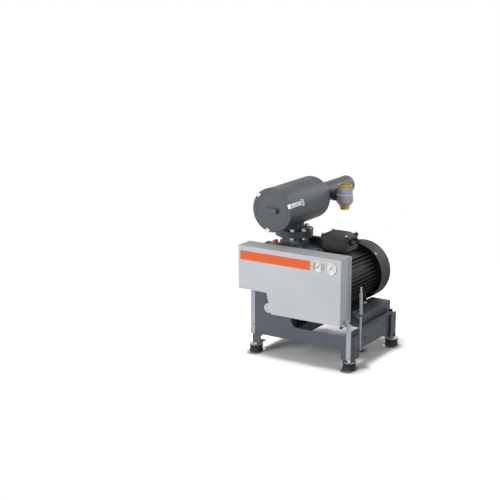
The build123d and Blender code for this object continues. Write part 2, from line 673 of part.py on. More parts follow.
with BuildPart() as gear_cover:
    cover_start = ROTOR_Y[1] + END_PLATE_T
    stadium((cover_start, GEAR_COVER_REAR - 10), COVER_R + 4)
    stadium((GEAR_COVER_REAR - 10.5, GEAR_COVER_REAR), COVER_R - 6)
    for rib_z in (-20, 0, 20):
        block((BLOWER_X - 60, BLOWER_X + 60), (GEAR_COVER_REAR - 1, GEAR_COVER_REAR + 4),
              (BLOWER_Z + rib_z - 2, BLOWER_Z + rib_z + 2))
    stadium((cover_start - 1, GEAR_COVER_REAR - 17), COVER_R - 3, Mode.SUBTRACT)
save(gear_cover, "gear_cover")

PLUG_AT = ((DRIVE_X + 22, DRIVE_COVER_FRONT + 26, END_TOP), (DRIVEN_X, cover_start + 30, BLOWER_Z + COVER_R + 4))
with BuildPart() as oil_plugs:
    for x, y, z in PLUG_AT:
        hex_z(x, y, (z, z + 12), 14)
        rod_z(x, y, (z + 12, z + 25), 11)
save(oil_plugs, "oil_plugs")

with BuildPart() as sight_glasses:
    rod_y(DRIVEN_X, BLOWER_Z - 30, (DRIVE_COVER_FRONT - 5, DRIVE_COVER_FRONT), 12)
    rod_y(DRIVEN_X, BLOWER_Z - 36, (GEAR_COVER_REAR, GEAR_COVER_REAR + 5), 12)
save(sight_glasses, "sight_glasses")

# ================================================================ intake side
with BuildPart() as intake_neck:
    rod_z(BLOWER_X, BLOWER_Y, (PORT_TOP, FLANGE_TOP), PORT_FLANGE_R)
    rod_z(BLOWER_X, BLOWER_Y, (FLANGE_TOP - 1, FLANGE_TOP + 10), PIPE_R + 7)
    rod_z(BLOWER_X, BLOWER_Y, (PORT_TOP, FILTER_Z - FILTER_R / 2), PIPE_R)
    rod_z(BLOWER_X, BLOWER_Y, (PORT_TOP - 1, FILTER_Z), PIPE_R - PIPE_WALL, Mode.SUBTRACT)
    rod_y(BLOWER_X, FILTER_Z, (BLOWER_Y - FILTER_R, BLOWER_Y + FILTER_R), FILTER_R, Mode.SUBTRACT)
    with Locations((BLOWER_X, BLOWER_Y)):
        with PolarLocations(PORT_PCD_R, PORT_BOLTS, start_angle=180 / PORT_BOLTS):
            with Locations((0, 0, FLANGE_TOP)):
                Hole(PORT_HOLE_R, depth=PORT_FLANGE_T + 1)
save(intake_neck, "intake_neck")

with BuildPart() as flange_bolts:
    for step in range(PORT_BOLTS):
        spoke = turn((step + 0.5) * 360 / PORT_BOLTS) * PORT_PCD_R
        x, y = BLOWER_X + spoke.X, BLOWER_Y + spoke.Y
        rod_z(x, y, (FLANGE_TOP, FLANGE_TOP + 3), 14)
        hex_z(x, y, (FLANGE_TOP + 3, FLANGE_TOP + 14), 13)
        rod_z(x, y, (PORT_TOP - PORT_FLANGE_T - 16, FLANGE_TOP + 1), BOLT_R)
        hex_z(x, y, (PORT_TOP - PORT_FLANGE_T - 12, PORT_TOP - PORT_FLANGE_T), 12)
save(flange_bolts, "flange_bolts")

FILTER_FRONT = COVER_FACE + COVER_T + 1
DOME_R = 26.0
with BuildPart() as filter_shell:
    with BuildSketch(Plane(origin=(BLOWER_X, 0, FILTER_Z), x_dir=(0, 1, 0), z_dir=(1, 0, 0))):
        with BuildLine():
            Line((FILTER_FRONT, FILTER_R), (FILTER_REAR - DOME_R, FILTER_R))
            RadiusArc((FILTER_REAR - DOME_R, FILTER_R), (FILTER_REAR, FILTER_R - DOME_R), DOME_R)
            Line((FILTER_REAR, FILTER_R - DOME_R), (FILTER_REAR, 0))
            Polyline((FILTER_REAR, 0), (FILTER_FRONT, 0), (FILTER_FRONT, FILTER_R))
        make_face()
    revolve(axis=Axis((BLOWER_X, 0, FILTER_Z), (0, 1, 0)))
    rod_y(BLOWER_X, FILTER_Z, (FILTER_FRONT - 1, FILTER_REAR - DOME_R), FILTER_R - FILTER_WALL, Mode.SUBTRACT)
    rod_y(BLOWER_X, FILTER_Z, (FILTER_REAR - DOME_R - 1, FILTER_REAR + 1), PIPE_R - PIPE_WALL, Mode.SUBTRACT)
    rod_z(BLOWER_X, BLOWER_Y, (FILTER_Z - FILTER_R - 1, FILTER_Z), PIPE_R - PIPE_WALL, Mode.SUBTRACT)
save(filter_shell, "filter_shell")

RIM_R = FILTER_R + 2.5
with BuildPart() as filter_cover:
    turned_y(BLOWER_X, FILTER_Z, (
        (COVER_FACE, 0), (COVER_FACE, FILTER_R - 3), (COVER_FACE + 3, RIM_R), (FILTER_SPLIT, RIM_R),
        (FILTER_SPLIT, FILTER_R + GAP), (COVER_FACE + COVER_T, FILTER_R + GAP), (COVER_FACE + COVER_T, 0),
    ))
    rounded_panel((BLOWER_X - HANDLE_L / 2, BLOWER_X + HANDLE_L / 2),
                  (FILTER_Z - HANDLE_H / 2, FILTER_Z + HANDLE_H / 2),
                  (COVER_FACE - HANDLE_OUT, COVER_FACE + 0.5), 4)
    rounded_panel((BLOWER_X - HANDLE_L / 2 + 8, BLOWER_X + HANDLE_L / 2 - 8),
                  (FILTER_Z - HANDLE_H / 2 - 1, FILTER_Z + HANDLE_H / 2 - 9),
                  (COVER_FACE - HANDLE_OUT + 4, COVER_FACE - 1), 2, Mode.SUBTRACT)
save(filter_cover, "filter_cover")

ELEMENT_R = 92.0
ELEMENT_Y = (COVER_FACE + COVER_T, -46.0)
with BuildPart() as filter_element:
    rod_y(BLOWER_X, FILTER_Z, ELEMENT_Y, ELEMENT_R)
    rod_y(BLOWER_X, FILTER_Z, (ELEMENT_Y[0] + 8, ELEMENT_Y[1] + 1), ELEMENT_R - 30, Mode.SUBTRACT)
save(filter_element, "filter_element")

# Latches: each clip is hinged on the shell behind and hooks over the cover's rim.
CLIP_IN = RIM_R + GAP           # underside of the clip, from the drum's axis
PIN_RISE = CLIP_IN + LATCH_T / 2 + 3.5


def latch_plane(angle, radius=0.0):
    """Plane on the drum's side whose local axes are Y and the tangent; it extrudes outwards."""
    out = turn(angle)
    return Plane(
        origin=(BLOWER_X + radius * out.X, 0, FILTER_Z + radius * out.Y),
        x_dir=(0, 1, 0), z_dir=(out.X, 0, out.Y),
    )


def latch_section(angle, shift):
    """Plane across the tangent whose local axes are Y and the outward direction."""
    out = turn(angle)
    side = Vector(-out.Y, 0, out.X)
    return Plane(
        origin=Vector(BLOWER_X, 0, FILTER_Z) + side * shift, x_dir=(0, 1, 0), z_dir=-side,
    )


def latch_pin(angle, width, radius, mode=Mode.ADD):
    """Bar along the latch's hinge line."""
    with BuildSketch(latch_section(angle, width / 2)) as section:
        with Locations((LATCH_PIVOT_Y, PIN_RISE)):
            Circle(radius)
    extrude(section.sketch, amount=width, mode=mode)


with BuildPart() as latch_bases:
    for angle in LATCH_ANGLES.values():
        with BuildSketch(latch_plane(angle, FILTER_R - 1)) as foot:
            with Locations((LATCH_PIVOT_Y, 0)):
                Rectangle(26, LATCH_W + 12)
        extrude(foot.sketch, amount=3)
        for shift in (LATCH_W / 2 + 3.3, -LATCH_W / 2 - 0.3):
            with BuildSketch(latch_section(angle, shift)) as cheek:
                with Locations((LATCH_PIVOT_Y, PIN_RISE)):
                    Circle(LATCH_PIN_R + 3)
                with Locations((LATCH_PIVOT_Y, (PIN_RISE + FILTER_R) / 2)):
                    Rectangle(2 * LATCH_PIN_R + 6, PIN_RISE - FILTER_R)
            extrude(cheek.sketch, amount=3)
        latch_pin(angle, LATCH_W + 7, LATCH_PIN_R)
    rod_y(BLOWER_X, FILTER_Z, (LATCH_PIVOT_Y - 20, LATCH_PIVOT_Y + 20), FILTER_R, Mode.SUBTRACT)
save(latch_bases, "latch_bases")


def latch_clip(angle):
    """Spring clip: knuckle round the pin, strap along the shell and hook over the rim."""
    hook_front = COVER_FACE - GAP
    with BuildSketch(latch_section(angle, LATCH_W / 2)) as strap:
        with BuildLine():
            Polyline(
                (LATCH_PIVOT_Y, CLIP_IN), (LATCH_PIVOT_Y, CLIP_IN + LATCH_T),
                (hook_front - LATCH_T, CLIP_IN + LATCH_T), (hook_front - LATCH_T, FILTER_R - 14),
                (hook_front, FILTER_R - 14), (hook_front, CLIP_IN), close=True,
            )
        make_face()
        with Locations((LATCH_PIVOT_Y, PIN_RISE)):
            Circle(LATCH_PIN_R + 2.2)
            Circle(LATCH_PIN_R + FIT, mode=Mode.SUBTRACT)
    extrude(strap.sketch, amount=LATCH_W)
    with BuildSketch(latch_plane(angle, CLIP_IN + LATCH_T - 0.5)) as pressing:
        with Locations(((hook_front + LATCH_PIVOT_Y) / 2 - 6, 0)):
            SlotOverall(70, 11)
    extrude(pressing.sketch, amount=2.5)


with BuildPart() as latch_clip_right:
    latch_clip(LATCH_ANGLES["right"])
save(latch_clip_right, "latch_clip_right")

with BuildPart() as latch_clip_left:
    latch_clip(LATCH_ANGLES["left"])
save(latch_clip_left, "latch_clip_left")

with BuildPart() as latch_clip_bottom:
    latch_clip(LATCH_ANGLES["bottom"])
save(latch_clip_bottom, "latch_clip_bottom")

with BuildPart() as suction_pipe:
    rod_y(BLOWER_X, FILTER_Z, (FILTER_REAR, PIPE_END - SUCTION_SPIGOT), PIPE_R)
    rod_y(BLOWER_X, FILTER_Z, (FILTER_REAR, PIPE_END), SPIGOT_R)
    rod_y(BLOWER_X, FILTER_Z, (FILTER_REAR - 1, PIPE_END + 1), PIPE_R - PIPE_WALL, Mode.SUBTRACT)
    rod_x(VALVE_Y, FILTER_Z, (BLOWER_X, BLOWER_X + PIPE_R + 1), STUB_R - PIPE_WALL, Mode.SUBTRACT)
save(suction_pipe, "suction_pipe")

UNION_X = (VALVE_X - VALVE_R - 26, VALVE_X - VALVE_R - 4)
with BuildPart() as valve_stub:
    rod_x(VALVE_Y, FILTER_Z, (BLOWER_X, VALVE_X), STUB_R)
    rod_x(VALVE_Y, FILTER_Z, UNION_X, STUB_R + 8)
    rod_x(VALVE_Y, FILTER_Z, (BLOWER_X - 1, VALVE_X + 1), STUB_R - PIPE_WALL, Mode.SUBTRACT)
    rod_y(BLOWER_X, FILTER_Z, (VALVE_Y - 60, VALVE_Y + 60), PIPE_R, Mode.SUBTRACT)
    rod_z(VALVE_X, VALVE_Y, (VALVE_BOTTOM, VALVE_TOP), VALVE_COLLAR_R, Mode.SUBTRACT)
save(valve_stub, "valve_stub")

COLLAR_Z = (850.0, 892.0)
SEAT_T = 10.0
with BuildPart() as valve_body:
    turned_z(VALVE_X, VALVE_Y, (
        (VALVE_BORE, COLLAR_Z[1]), (VALVE_COLLAR_R, COLLAR_Z[1]), (VALVE_COLLAR_R, COLLAR_Z[0] + 2),
        (VALVE_R, COLLAR_Z[0] - 4), (VALVE_R, SEAT_Z + 5), (VALVE_R - 12, SEAT_Z - SEAT_T),
        (SEAT_R + 8, SEAT_Z - SEAT_T), (SEAT_R + 8, SEAT_Z), (VALVE_BORE, SEAT_Z),
    ))
    rod_x(VALVE_Y, FILTER_Z, (VALVE_X - VALVE_R - 1, VALVE_X), STUB_R, Mode.SUBTRACT)
save(valve_body, "valve_body")

with BuildPart() as valve_brass_ends:
    turned_z(VALVE_X, VALVE_Y, (
        (STEM_R + FIT, COLLAR_Z[1]), (VALVE_COLLAR_R - 3, COLLAR_Z[1]), (VALVE_COLLAR_R - 3, VALVE_TOP),
        (VALVE_COLLAR_R - 11, VALVE_TOP), (VALVE_COLLAR_R - 11, COLLAR_Z[1] + 3),
        (STEM_R + 6, COLLAR_Z[1] + 3), (STEM_R + 6, VALVE_TOP - 4), (STEM_R + FIT, VALVE_TOP - 4),
    ))
    seat_foot = SEAT_Z - SEAT_T
    with BuildSketch(Plane.XY.offset(VALVE_BOTTOM + 14)) as nut:
        with Locations((VALVE_X, VALVE_Y)):
            RegularPolygon(33, 8)
    extrude(nut.sketch, amount=seat_foot - VALVE_BOTTOM - 14)
    rod_z(VALVE_X, VALVE_Y, (VALVE_BOTTOM, VALVE_BOTTOM + 14), 28)
    rod_z(VALVE_X, VALVE_Y, (seat_foot - 1, SEAT_Z), SEAT_R + 8)
    rod_z(VALVE_X, VALVE_Y, (VALVE_BOTTOM - 1, SEAT_Z + 1), SEAT_R, Mode.SUBTRACT)
save(valve_brass_ends, "valve_brass_ends")

POPPET_Z = SEAT_Z + GAP
with BuildPart() as valve_poppet:
    turned_z(VALVE_X, VALVE_Y, (
        (0, POPPET_Z - 8), (SEAT_R - 6, POPPET_Z - 8), (SEAT_R - 2, POPPET_Z), (POPPET_R, POPPET_Z),
        (POPPET_R, POPPET_Z + 5), (STEM_R, POPPET_Z + 9), (STEM_R, VALVE_TOP - POPPET_LIFT - 2),
        (0, VALVE_TOP - POPPET_LIFT - 2),
    ))
save(valve_poppet, "valve_poppet")

with BuildPart() as valve_spring:
    rod_z(VALVE_X, VALVE_Y, (POPPET_Z + 10, COLLAR_Z[1]), STEM_R + 9)
    rod_z(VALVE_X, VALVE_Y, (POPPET_Z + 9, COLLAR_Z[1] + 1), STEM_R + 5, Mode.SUBTRACT)
save(valve_spring, "valve_spring")

# ================================================================ belt drive
BELT_YS = [PULLEY_Y + (belt - (BELTS - 1) / 2) * BELT_PITCH for belt in range(BELTS)]


def grooved_pulley(x, z, pitch_radius, bore):
    """V-groove pulley: wide-open grooves, a recessed web and its bore."""
    rim = pitch_radius + 4
    depth = BELT_H + 3
    low, high = PULLEY_Y - PULLEY_W / 2, PULLEY_Y + PULLEY_W / 2
    outline = [(low, bore), (low, rim)]
    for middle in BELT_YS:
        half = BELT_TOP / 2 + GAP + 0.4
        foot = half - depth * tan(radians(GROOVE_ANGLE))
        outline += [(middle - half, rim), (middle - foot, rim - depth), (middle + foot, rim - depth),
                    (middle + half, rim)]
    outline += [(high, rim), (high, bore)]
    turned_y(x, z, outline)


with BuildPart() as blower_pulley:
    grooved_pulley(DRIVE_X, BLOWER_Z, BLOWER_PULLEY_R, SHAFT_R + FIT)
    turned_y(DRIVE_X, BLOWER_Z, (
        (PULLEY_Y - PULLEY_W / 2 - 1, 36), (PULLEY_Y - PULLEY_W / 2 - 1, 54),
        (PULLEY_Y - 6, 50), (PULLEY_Y - 6, 36),
    ), Mode.SUBTRACT)
save(blower_pulley, "blower_pulley")

with BuildPart() as motor_pulley:
    grooved_pulley(MOTOR_X, MOTOR_Z, MOTOR_PULLEY_R, MOTOR_SHAFT_R + FIT)
    for face, floor in ((PULLEY_Y - PULLEY_W / 2 - 1, PULLEY_Y - 7), (PULLEY_Y + PULLEY_W / 2 + 1, PULLEY_Y + 7)):
        turned_y(MOTOR_X, MOTOR_Z, (
            (face, 44), (face, MOTOR_PULLEY_R - 20), (floor, MOTOR_PULLEY_R - 24), (floor, 44),
        ), Mode.SUBTRACT)
    with BuildSketch(facing_front(PULLEY_Y + 10, MOTOR_X, MOTOR_Z)):
        with PolarLocations(79, 5):
            Circle(22)
    extrude(amount=20, mode=Mode.SUBTRACT)
save(motor_pulley, "motor_pulley")


def belt(middle):
    """One V-belt: a wedge section drawn along both tangents and turned round both pulleys."""
    drive, motor = Vector(DRIVE_X, BLOWER_Z), Vector(MOTOR_X, MOTOR_Z)
    apart = motor - drive
    heading = degrees(atan2(apart.Y, apart.X))
    lean = degrees(acos((BLOWER_PULLEY_R - MOTOR_PULLEY_R) / apart.length))
    wide, narrow = BELT_TOP / 2, BELT_TOP / 2 - BELT_H * tan(radians(GROOVE_ANGLE))
    above, below = turn(heading + lean), turn(heading - lean)
    runs = (
        (drive + above * BLOWER_PULLEY_R, motor + above * MOTOR_PULLEY_R, motor, 2 * lean),
        (motor + below * MOTOR_PULLEY_R, drive + below * BLOWER_PULLEY_R, drive, 360 - 2 * lean),
    )
    for start, end, centre, wrap in runs:
        along = end - start
        for at, length in ((start, along.length), (end, 0)):
            across = Plane(origin=(at.X, middle, at.Y), x_dir=(0, 1, 0), z_dir=(along.X, 0, along.Y))
            with BuildSketch(across) as section:
                with BuildLine():
                    Polyline((-wide, 3), (wide, 3), (narrow, 3 - BELT_H), (-narrow, 3 - BELT_H), close=True)
                make_face()
            if length:
                extrude(section.sketch, amount=length)
            else:
                revolve(section.sketch, axis=Axis((centre.X, 0, centre.Y), (0, 1, 0)), revolution_arc=wrap)


with BuildPart() as drive_belts:
    for middle in BELT_YS:
        belt(middle)
save(drive_belts, "drive_belts")

# ================================================================ belt guard and gauges
GUARD_OUTLINE = (
    (GUARD_X[0], GUARD_STEP_Z), (GUARD_X[0], GUARD_TOP), (GUARD_X[1], GUARD_TOP), (GUARD_X[1], GUARD_LOW),
    (GUARD_STEP_X[1], GUARD_LOW), (GUARD_STEP_X[0], GUARD_STEP_Z),
)
BACK_Y = GUARD_REAR - GUARD_SHEET


def guard_face(y, inset=0.0):
    """Outline of the guard at one depth, set in by inset."""
    with BuildSketch(facing_front(y)) as face:
        with BuildLine():
            Polyline(*GUARD_OUTLINE, close=True)
        make_face()
        if inset:
            offset(amount=-inset, kind=Kind.INTERSECTION, mode=Mode.REPLACE)
    return face.sketch


with BuildPart() as guard_cover:
    extrude(guard_face(BACK_Y), amount=BACK_Y - GUARD_FRONT)
    fillet(guard_cover.edges().group_by(Axis.Y)[0], 2.5)
    extrude(guard_face(BACK_Y, GUARD_SHEET), amount=BACK_Y - GUARD_FRONT - GUARD_SHEET, mode=Mode.SUBTRACT)
    with BuildSketch(facing_front(GUARD_FRONT + GUARD_SHEET)):
        with Locations(EAR_AT):
            Circle(EAR_R)
        with Locations((EAR_AT[0] - 12, EAR_AT[1] + 10), (EAR_AT[0] - 4, EAR_AT[1] - 14)):
            Circle(3.5, mode=Mode.SUBTRACT)
    extrude(amount=GUARD_SHEET)
    for gauge_x, gauge_z in GAUGE_AT:
        rod_y(gauge_x, gauge_z, (GUARD_FRONT - 1, GUARD_FRONT + 5), GAUGE_BODY_R + GAP, Mode.SUBTRACT)
    for vent in range(VENT_COUNT):
        rod_x(VENT_Y, VENT_Z + vent * VENT_PITCH, (GUARD_X[1] - 5, GUARD_X[1] + 1), VENT_R, Mode.SUBTRACT)
save(guard_cover, "guard_cover")

BACK_HOLE_R = 44.0
with BuildPart() as guard_backplate:
    extrude(guard_face(GUARD_REAR, 0.0), amount=GUARD_SHEET)
    rod_y(DRIVE_X, BLOWER_Z, (BACK_Y - 1, GUARD_REAR + 1), SHAFT_R + 12, Mode.SUBTRACT)
    rod_y(MOTOR_X - 6, MOTOR_Z + 6, (BACK_Y - 1, GUARD_REAR + 1), BACK_HOLE_R, Mode.SUBTRACT)
    for foot_z in (BENCH_Z + FOOT_FLANGE_T + 22, GUARD_TOP - 40):
        for foot_x in (BLOWER_X - 96, BLOWER_X + 88):
            rod_y(foot_x, foot_z, (GUARD_REAR - 0.5, ROTOR_Y[0] - END_PLATE_T), 9)
save(guard_backplate, "guard_backplate")

DIAL_Y = GUARD_FRONT - 1.0
with BuildPart() as gauge_cases:
    for gauge_x, gauge_z in GAUGE_AT:
        turned_y(gauge_x, gauge_z, (
            (GUARD_FRONT - 6, GAUGE_R - 3), (GUARD_FRONT - 6, GAUGE_R - 1), (GUARD_FRONT - 5, GAUGE_R),
            (GUARD_FRONT, GAUGE_R), (GUARD_FRONT, GAUGE_BODY_R), (GUARD_FRONT + 34, GAUGE_BODY_R),
            (GUARD_FRONT + 34, 0), (DIAL_Y - 2.4, 0), (DIAL_Y - 2.4, 1.2), (DIAL_Y, 1.2), (DIAL_Y, GAUGE_R - 3),
        ))
save(gauge_cases, "gauge_cases")

with BuildPart() as gauge_lenses:
    for gauge_x, gauge_z in GAUGE_AT:
        rod_y(gauge_x, gauge_z, (GUARD_FRONT - 5.2, GUARD_FRONT - 4.2), GAUGE_R - 3.1)
save(gauge_lenses, "gauge_lenses")


def pointer(gauge_x, gauge_z, angle):
    """Balanced needle with a hub round the dial's pin."""
    with BuildSketch(facing_front(DIAL_Y - 0.8, gauge_x, gauge_z)) as needle:
        Circle(3.2)
        with BuildLine():
            Polyline(*[
                turn(angle + lean) * reach
                for reach, lean in ((POINTER_L, 0), (3, 80), (POINTER_L * 0.6, 174), (POINTER_L * 0.6, 186), (3, -80))
            ], close=True)
        make_face()
        Circle(1.2 + FIT, mode=Mode.SUBTRACT)
    extrude(needle.sketch, amount=0.9)


with BuildPart() as pressure_pointer:
    pointer(*GAUGE_AT[0], 52)
save(pressure_pointer, "pressure_pointer")

with BuildPart() as vacuum_pointer:
    pointer(*GAUGE_AT[1], 47)
save(vacuum_pointer, "vacuum_pointer")

# ================================================================ motor on its rocker plate
with BuildPart() as rocker_plate:
    low_y, high_y = ROCKER_Y
    block(ROCKER_X, ROCKER_Y, (ROCKER_TOP - ROCKER_T, ROCKER_TOP))
    block((ROCKER_X[1] - SKIRT_T, ROCKER_X[1]), ROCKER_Y, (SKIRT_LOW, ROCKER_TOP))
    for skirt_y in ((low_y, low_y + SKIRT_T), (high_y - SKIRT_T, high_y)):
        block((PIVOT_X + 30, ROCKER_X[1]), skirt_y, (SKIRT_LOW, ROCKER_TOP))
    block((MOTOR_X - 75, MOTOR_X + 75), (COWL_FRONT - 8, high_y + 1), (MOTOR_Z - COWL_R - 8, ROCKER_TOP + 1),
          Mode.SUBTRACT)
    for lug_y in LUG_YS:
        knuckle = (lug_y + LUG_T + 0.5, lug_y + 2 * LUG_T + 0.5)
        block((PIVOT_X - LUG_R + 1, PIVOT_X + LUG_R - 1), knuckle, (PIVOT_Z, ROCKER_TOP - ROCKER_T + 1))
        rod_y(PIVOT_X, PIVOT_Z, knuckle, LUG_R - 1)
    rod_y(PIVOT_X, PIVOT_Z, (LUG_YS[0], LUG_YS[-1] + 3 * LUG_T), PIVOT_R + FIT, Mode.SUBTRACT)
    with BuildSketch(facing_right(ROCKER_X[1])):
        with BuildLine():
            Polyline(
                (low_y + 90, ROCKER_TOP - 4), (low_y + 30, SKIRT_LOW + 16), (low_y, SKIRT_LOW + 30),
                (ROD_Y + 14, LUG_Z[0]), (ROD_Y + 14, LUG_Z[1]), (ROD_Y + 40, LUG_Z[1]), (low_y, ROCKER_TOP - 4),
                close=True,
            )
        make_face()
    extrude(amount=8)
    with BuildSketch(Plane.XY.offset(LUG_Z[0])):
        with Locations(((ROCKER_X[1] + ROD_X) / 2, ROD_Y + 3)):
            Rectangle(ROD_X - ROCKER_X[1], 24)
        with Locations((ROD_X, ROD_Y)):
            Circle(18)
        with Locations((ROD_X + 4, ROD_Y)):
            SlotOverall(2 * ROD_R + 11, 2 * ROD_R + 1.4, mode=Mode.SUBTRACT)
    extrude(amount=LUG_Z[1] - LUG_Z[0])
save(rocker_plate, "rocker_plate")

FOOT_YS = (SHOULDER_Y + FOOT_C, SHOULDER_Y + FOOT_C + FOOT_B)
BODY_FRONT = SHOULDER_Y + SHIELD_T
BOX_ROOT_W = 100.0      # terminal box's foot, and the pad on the frame under it
BOX_ROOT_SET = 13.0
FIN_ANGLES = [(fin + 0.5) * 360 / FIN_COUNT for fin in range(FIN_COUNT)]
FIN_MIDDLE = (BODY_R + FIN_R) / 2 - 1
FIN_PLACES = [
    Location((FIN_MIDDLE * cos(radians(angle)), FIN_MIDDLE * sin(radians(angle)), 0), (0, 0, angle))
    for angle in FIN_ANGLES if abs(angle - 90) > 25 and abs(angle - 270) > 36
]
with BuildPart() as motor_frame:
    with BuildSketch(facing_front(BODY_REAR, MOTOR_X, MOTOR_Z)):
        Circle(BODY_R)
        with Locations(*FIN_PLACES):
            Rectangle(FIN_R - BODY_R + 2, FIN_W)
        Circle(STATOR_R + FIT, mode=Mode.SUBTRACT)
    extrude(amount=BODY_REAR - BODY_FRONT)
    foot_z = MOTOR_Z - MOTOR_H
    for side in (-1, 1):
        foot_x = MOTOR_X + side * FOOT_A / 2
        block((foot_x - 28, foot_x + 28), (FOOT_YS[0] - 24, FOOT_YS[1] + 24), (foot_z, foot_z + 18))
        for foot_y in FOOT_YS:
            with BuildSketch(facing_front(foot_y + 12)) as web:
                with BuildLine():
                    Polyline(
                        (foot_x - side * 26, foot_z + 10), (foot_x + side * 16, foot_z + 10),
                        (MOTOR_X + side * (BODY_R - 14), MOTOR_Z - 50), (MOTOR_X + side * (BODY_R - 53), MOTOR_Z - 95),
                        close=True,
                    )
                make_face()
            extrude(web.sketch, amount=8)
            rod_z(foot_x, foot_y, (foot_z - 1, foot_z + 19), 7, Mode.SUBTRACT)
    block(
        (MOTOR_X - BOX_ROOT_W / 2, MOTOR_X + BOX_ROOT_W / 2), (BOX_Y[0] + BOX_ROOT_SET, BOX_Y[1] - BOX_ROOT_SET),
        (MOTOR_Z + STATOR_R - 10, BOX_Z[0]),
    )
    rod_y(MOTOR_X, MOTOR_Z, (BODY_FRONT - 1, BODY_REAR + 1), STATOR_R + FIT, Mode.SUBTRACT)
save(motor_frame, "motor_frame")

MOTOR_BEARING_R = 45.0
SHIELD_REAR = BODY_REAR + 22
BEARING_FRONTS = (SHOULDER_Y + 8, BODY_REAR)
with BuildPart() as motor_end_shields:
    turned_y(MOTOR_X, MOTOR_Z, (
        (SHOULDER_Y, MOTOR_SHAFT_R + 1.5), (SHOULDER_Y, 62), (SHOULDER_Y + 12, 74), (SHOULDER_Y + 16, BODY_R + 2),
        (SHOULDER_Y + 24, FIN_R), (BODY_FRONT, FIN_R), (BODY_FRONT, BODY_R - 24),
        (SHOULDER_Y + 24, BODY_R - 34), (SHOULDER_Y + 24, MOTOR_BEARING_R + FIT),
        (SHOULDER_Y + 8, MOTOR_BEARING_R + FIT), (SHOULDER_Y + 8, MOTOR_SHAFT_R + 1.5),
    ))
    turned_y(MOTOR_X, MOTOR_Z, (
        (BODY_REAR, MOTOR_BEARING_R + FIT), (BODY_REAR, BODY_R + 2), (SHIELD_REAR - 8, BODY_R),
        (SHIELD_REAR, 70), (SHIELD_REAR, MOTOR_SHAFT_R + 1.5), (SHIELD_REAR - 4, MOTOR_SHAFT_R + 1.5),
        (SHIELD_REAR - 4, MOTOR_BEARING_R + FIT),
    ))
    with BuildSketch(facing_front(BODY_REAR + 12, MOTOR_X, MOTOR_Z)):
        with PolarLocations((BODY_R + COWL_R - COWL_WALL) / 2 - 6, 4, start_angle=45):
            Rectangle(COWL_R - COWL_WALL - BODY_R + 11, 16)
    extrude(amount=12)
    rod_y(MOTOR_X, MOTOR_Z, (BODY_REAR - 1, BODY_REAR + 18), MOTOR_BEARING_R + FIT, Mode.SUBTRACT)
save(motor_end_shields, "motor_end_shields")

with BuildPart() as motor_bearings:
    for bearing_y in BEARING_FRONTS:
        rod_y(MOTOR_X, MOTOR_Z, (bearing_y, bearing_y + 16), MOTOR_BEARING_R)
        rod_y(MOTOR_X, MOTOR_Z, (bearing_y, bearing_y + 16), MOTOR_SHAFT_R + FIT, Mode.SUBTRACT)
save(motor_bearings, "motor_bearings")

with BuildPart() as motor_stator:
    rod_y(MOTOR_X, MOTOR_Z, CORE_Y, STATOR_R)
    for end in (CORE_Y[0], CORE_Y[1]):
        rod_y(MOTOR_X, MOTOR_Z, (end - 26, end + 26), STATOR_R - 14)
    rod_y(MOTOR_X, MOTOR_Z, (CORE_Y[0] - 30, CORE_Y[1] + 30), ROTOR_CORE_R + 0.5, Mode.SUBTRACT)
save(motor_stator, "motor_stator")

with BuildPart() as motor_rotor:
    rod_y(MOTOR_X, MOTOR_Z, CORE_Y, ROTOR_CORE_R)
    rod_y(MOTOR_X, MOTOR_Z, (SHOULDER_Y - SHAFT_OUT, COWL_REAR - 24), MOTOR_SHAFT_R)
save(motor_rotor, "motor_rotor")

FAN_Y = (SHIELD_REAR + 14, COWL_REAR - 36)
with BuildPart() as motor_fan:
    rod_y(MOTOR_X, MOTOR_Z, (FAN_Y[0], FAN_Y[0] + 4), 128)
    rod_y(MOTOR_X, MOTOR_Z, FAN_Y, MOTOR_SHAFT_R + 14)
    with BuildSketch(facing_front(FAN_Y[1], MOTOR_X, MOTOR_Z)):
        with PolarLocations(80, 7):
            Rectangle(96, 4)
    extrude(amount=FAN_Y[1] - FAN_Y[0])
    rod_y(MOTOR_X, MOTOR_Z, (FAN_Y[0] - 1, FAN_Y[1] + 1), MOTOR_SHAFT_R + FIT, Mode.SUBTRACT)
save(motor_fan, "motor_fan")

COWL_BEND = 24.0
GRILLE_RINGS = 6
GRILLE_STEP = 22.0
with BuildPart() as fan_cover:
    rod_y(MOTOR_X, MOTOR_Z, (COWL_FRONT, COWL_REAR), COWL_R)
    fillet(fan_cover.edges().group_by(Axis.Y)[-1], COWL_BEND)
    rod_y(MOTOR_X, MOTOR_Z, (COWL_FRONT - 1, COWL_REAR - COWL_BEND), COWL_R - COWL_WALL, Mode.SUBTRACT)
    rod_y(MOTOR_X, MOTOR_Z, (COWL_REAR - COWL_BEND - 1, COWL_REAR - COWL_WALL), COWL_R - COWL_BEND, Mode.SUBTRACT)
    with BuildSketch(facing_front(COWL_REAR + 1, MOTOR_X, MOTOR_Z)):
        for ring in reversed(range(GRILLE_RINGS)):
            Circle(GRILLE_STEP * (ring + 1))
            Circle(GRILLE_STEP * (ring + 1) - 13, mode=Mode.SUBTRACT)
        with PolarLocations(0, 4, start_angle=45):
            Rectangle(2 * COWL_R, 10, mode=Mode.SUBTRACT)
    extrude(amount=COWL_WALL + 2, mode=Mode.SUBTRACT)
save(fan_cover, "fan_cover")

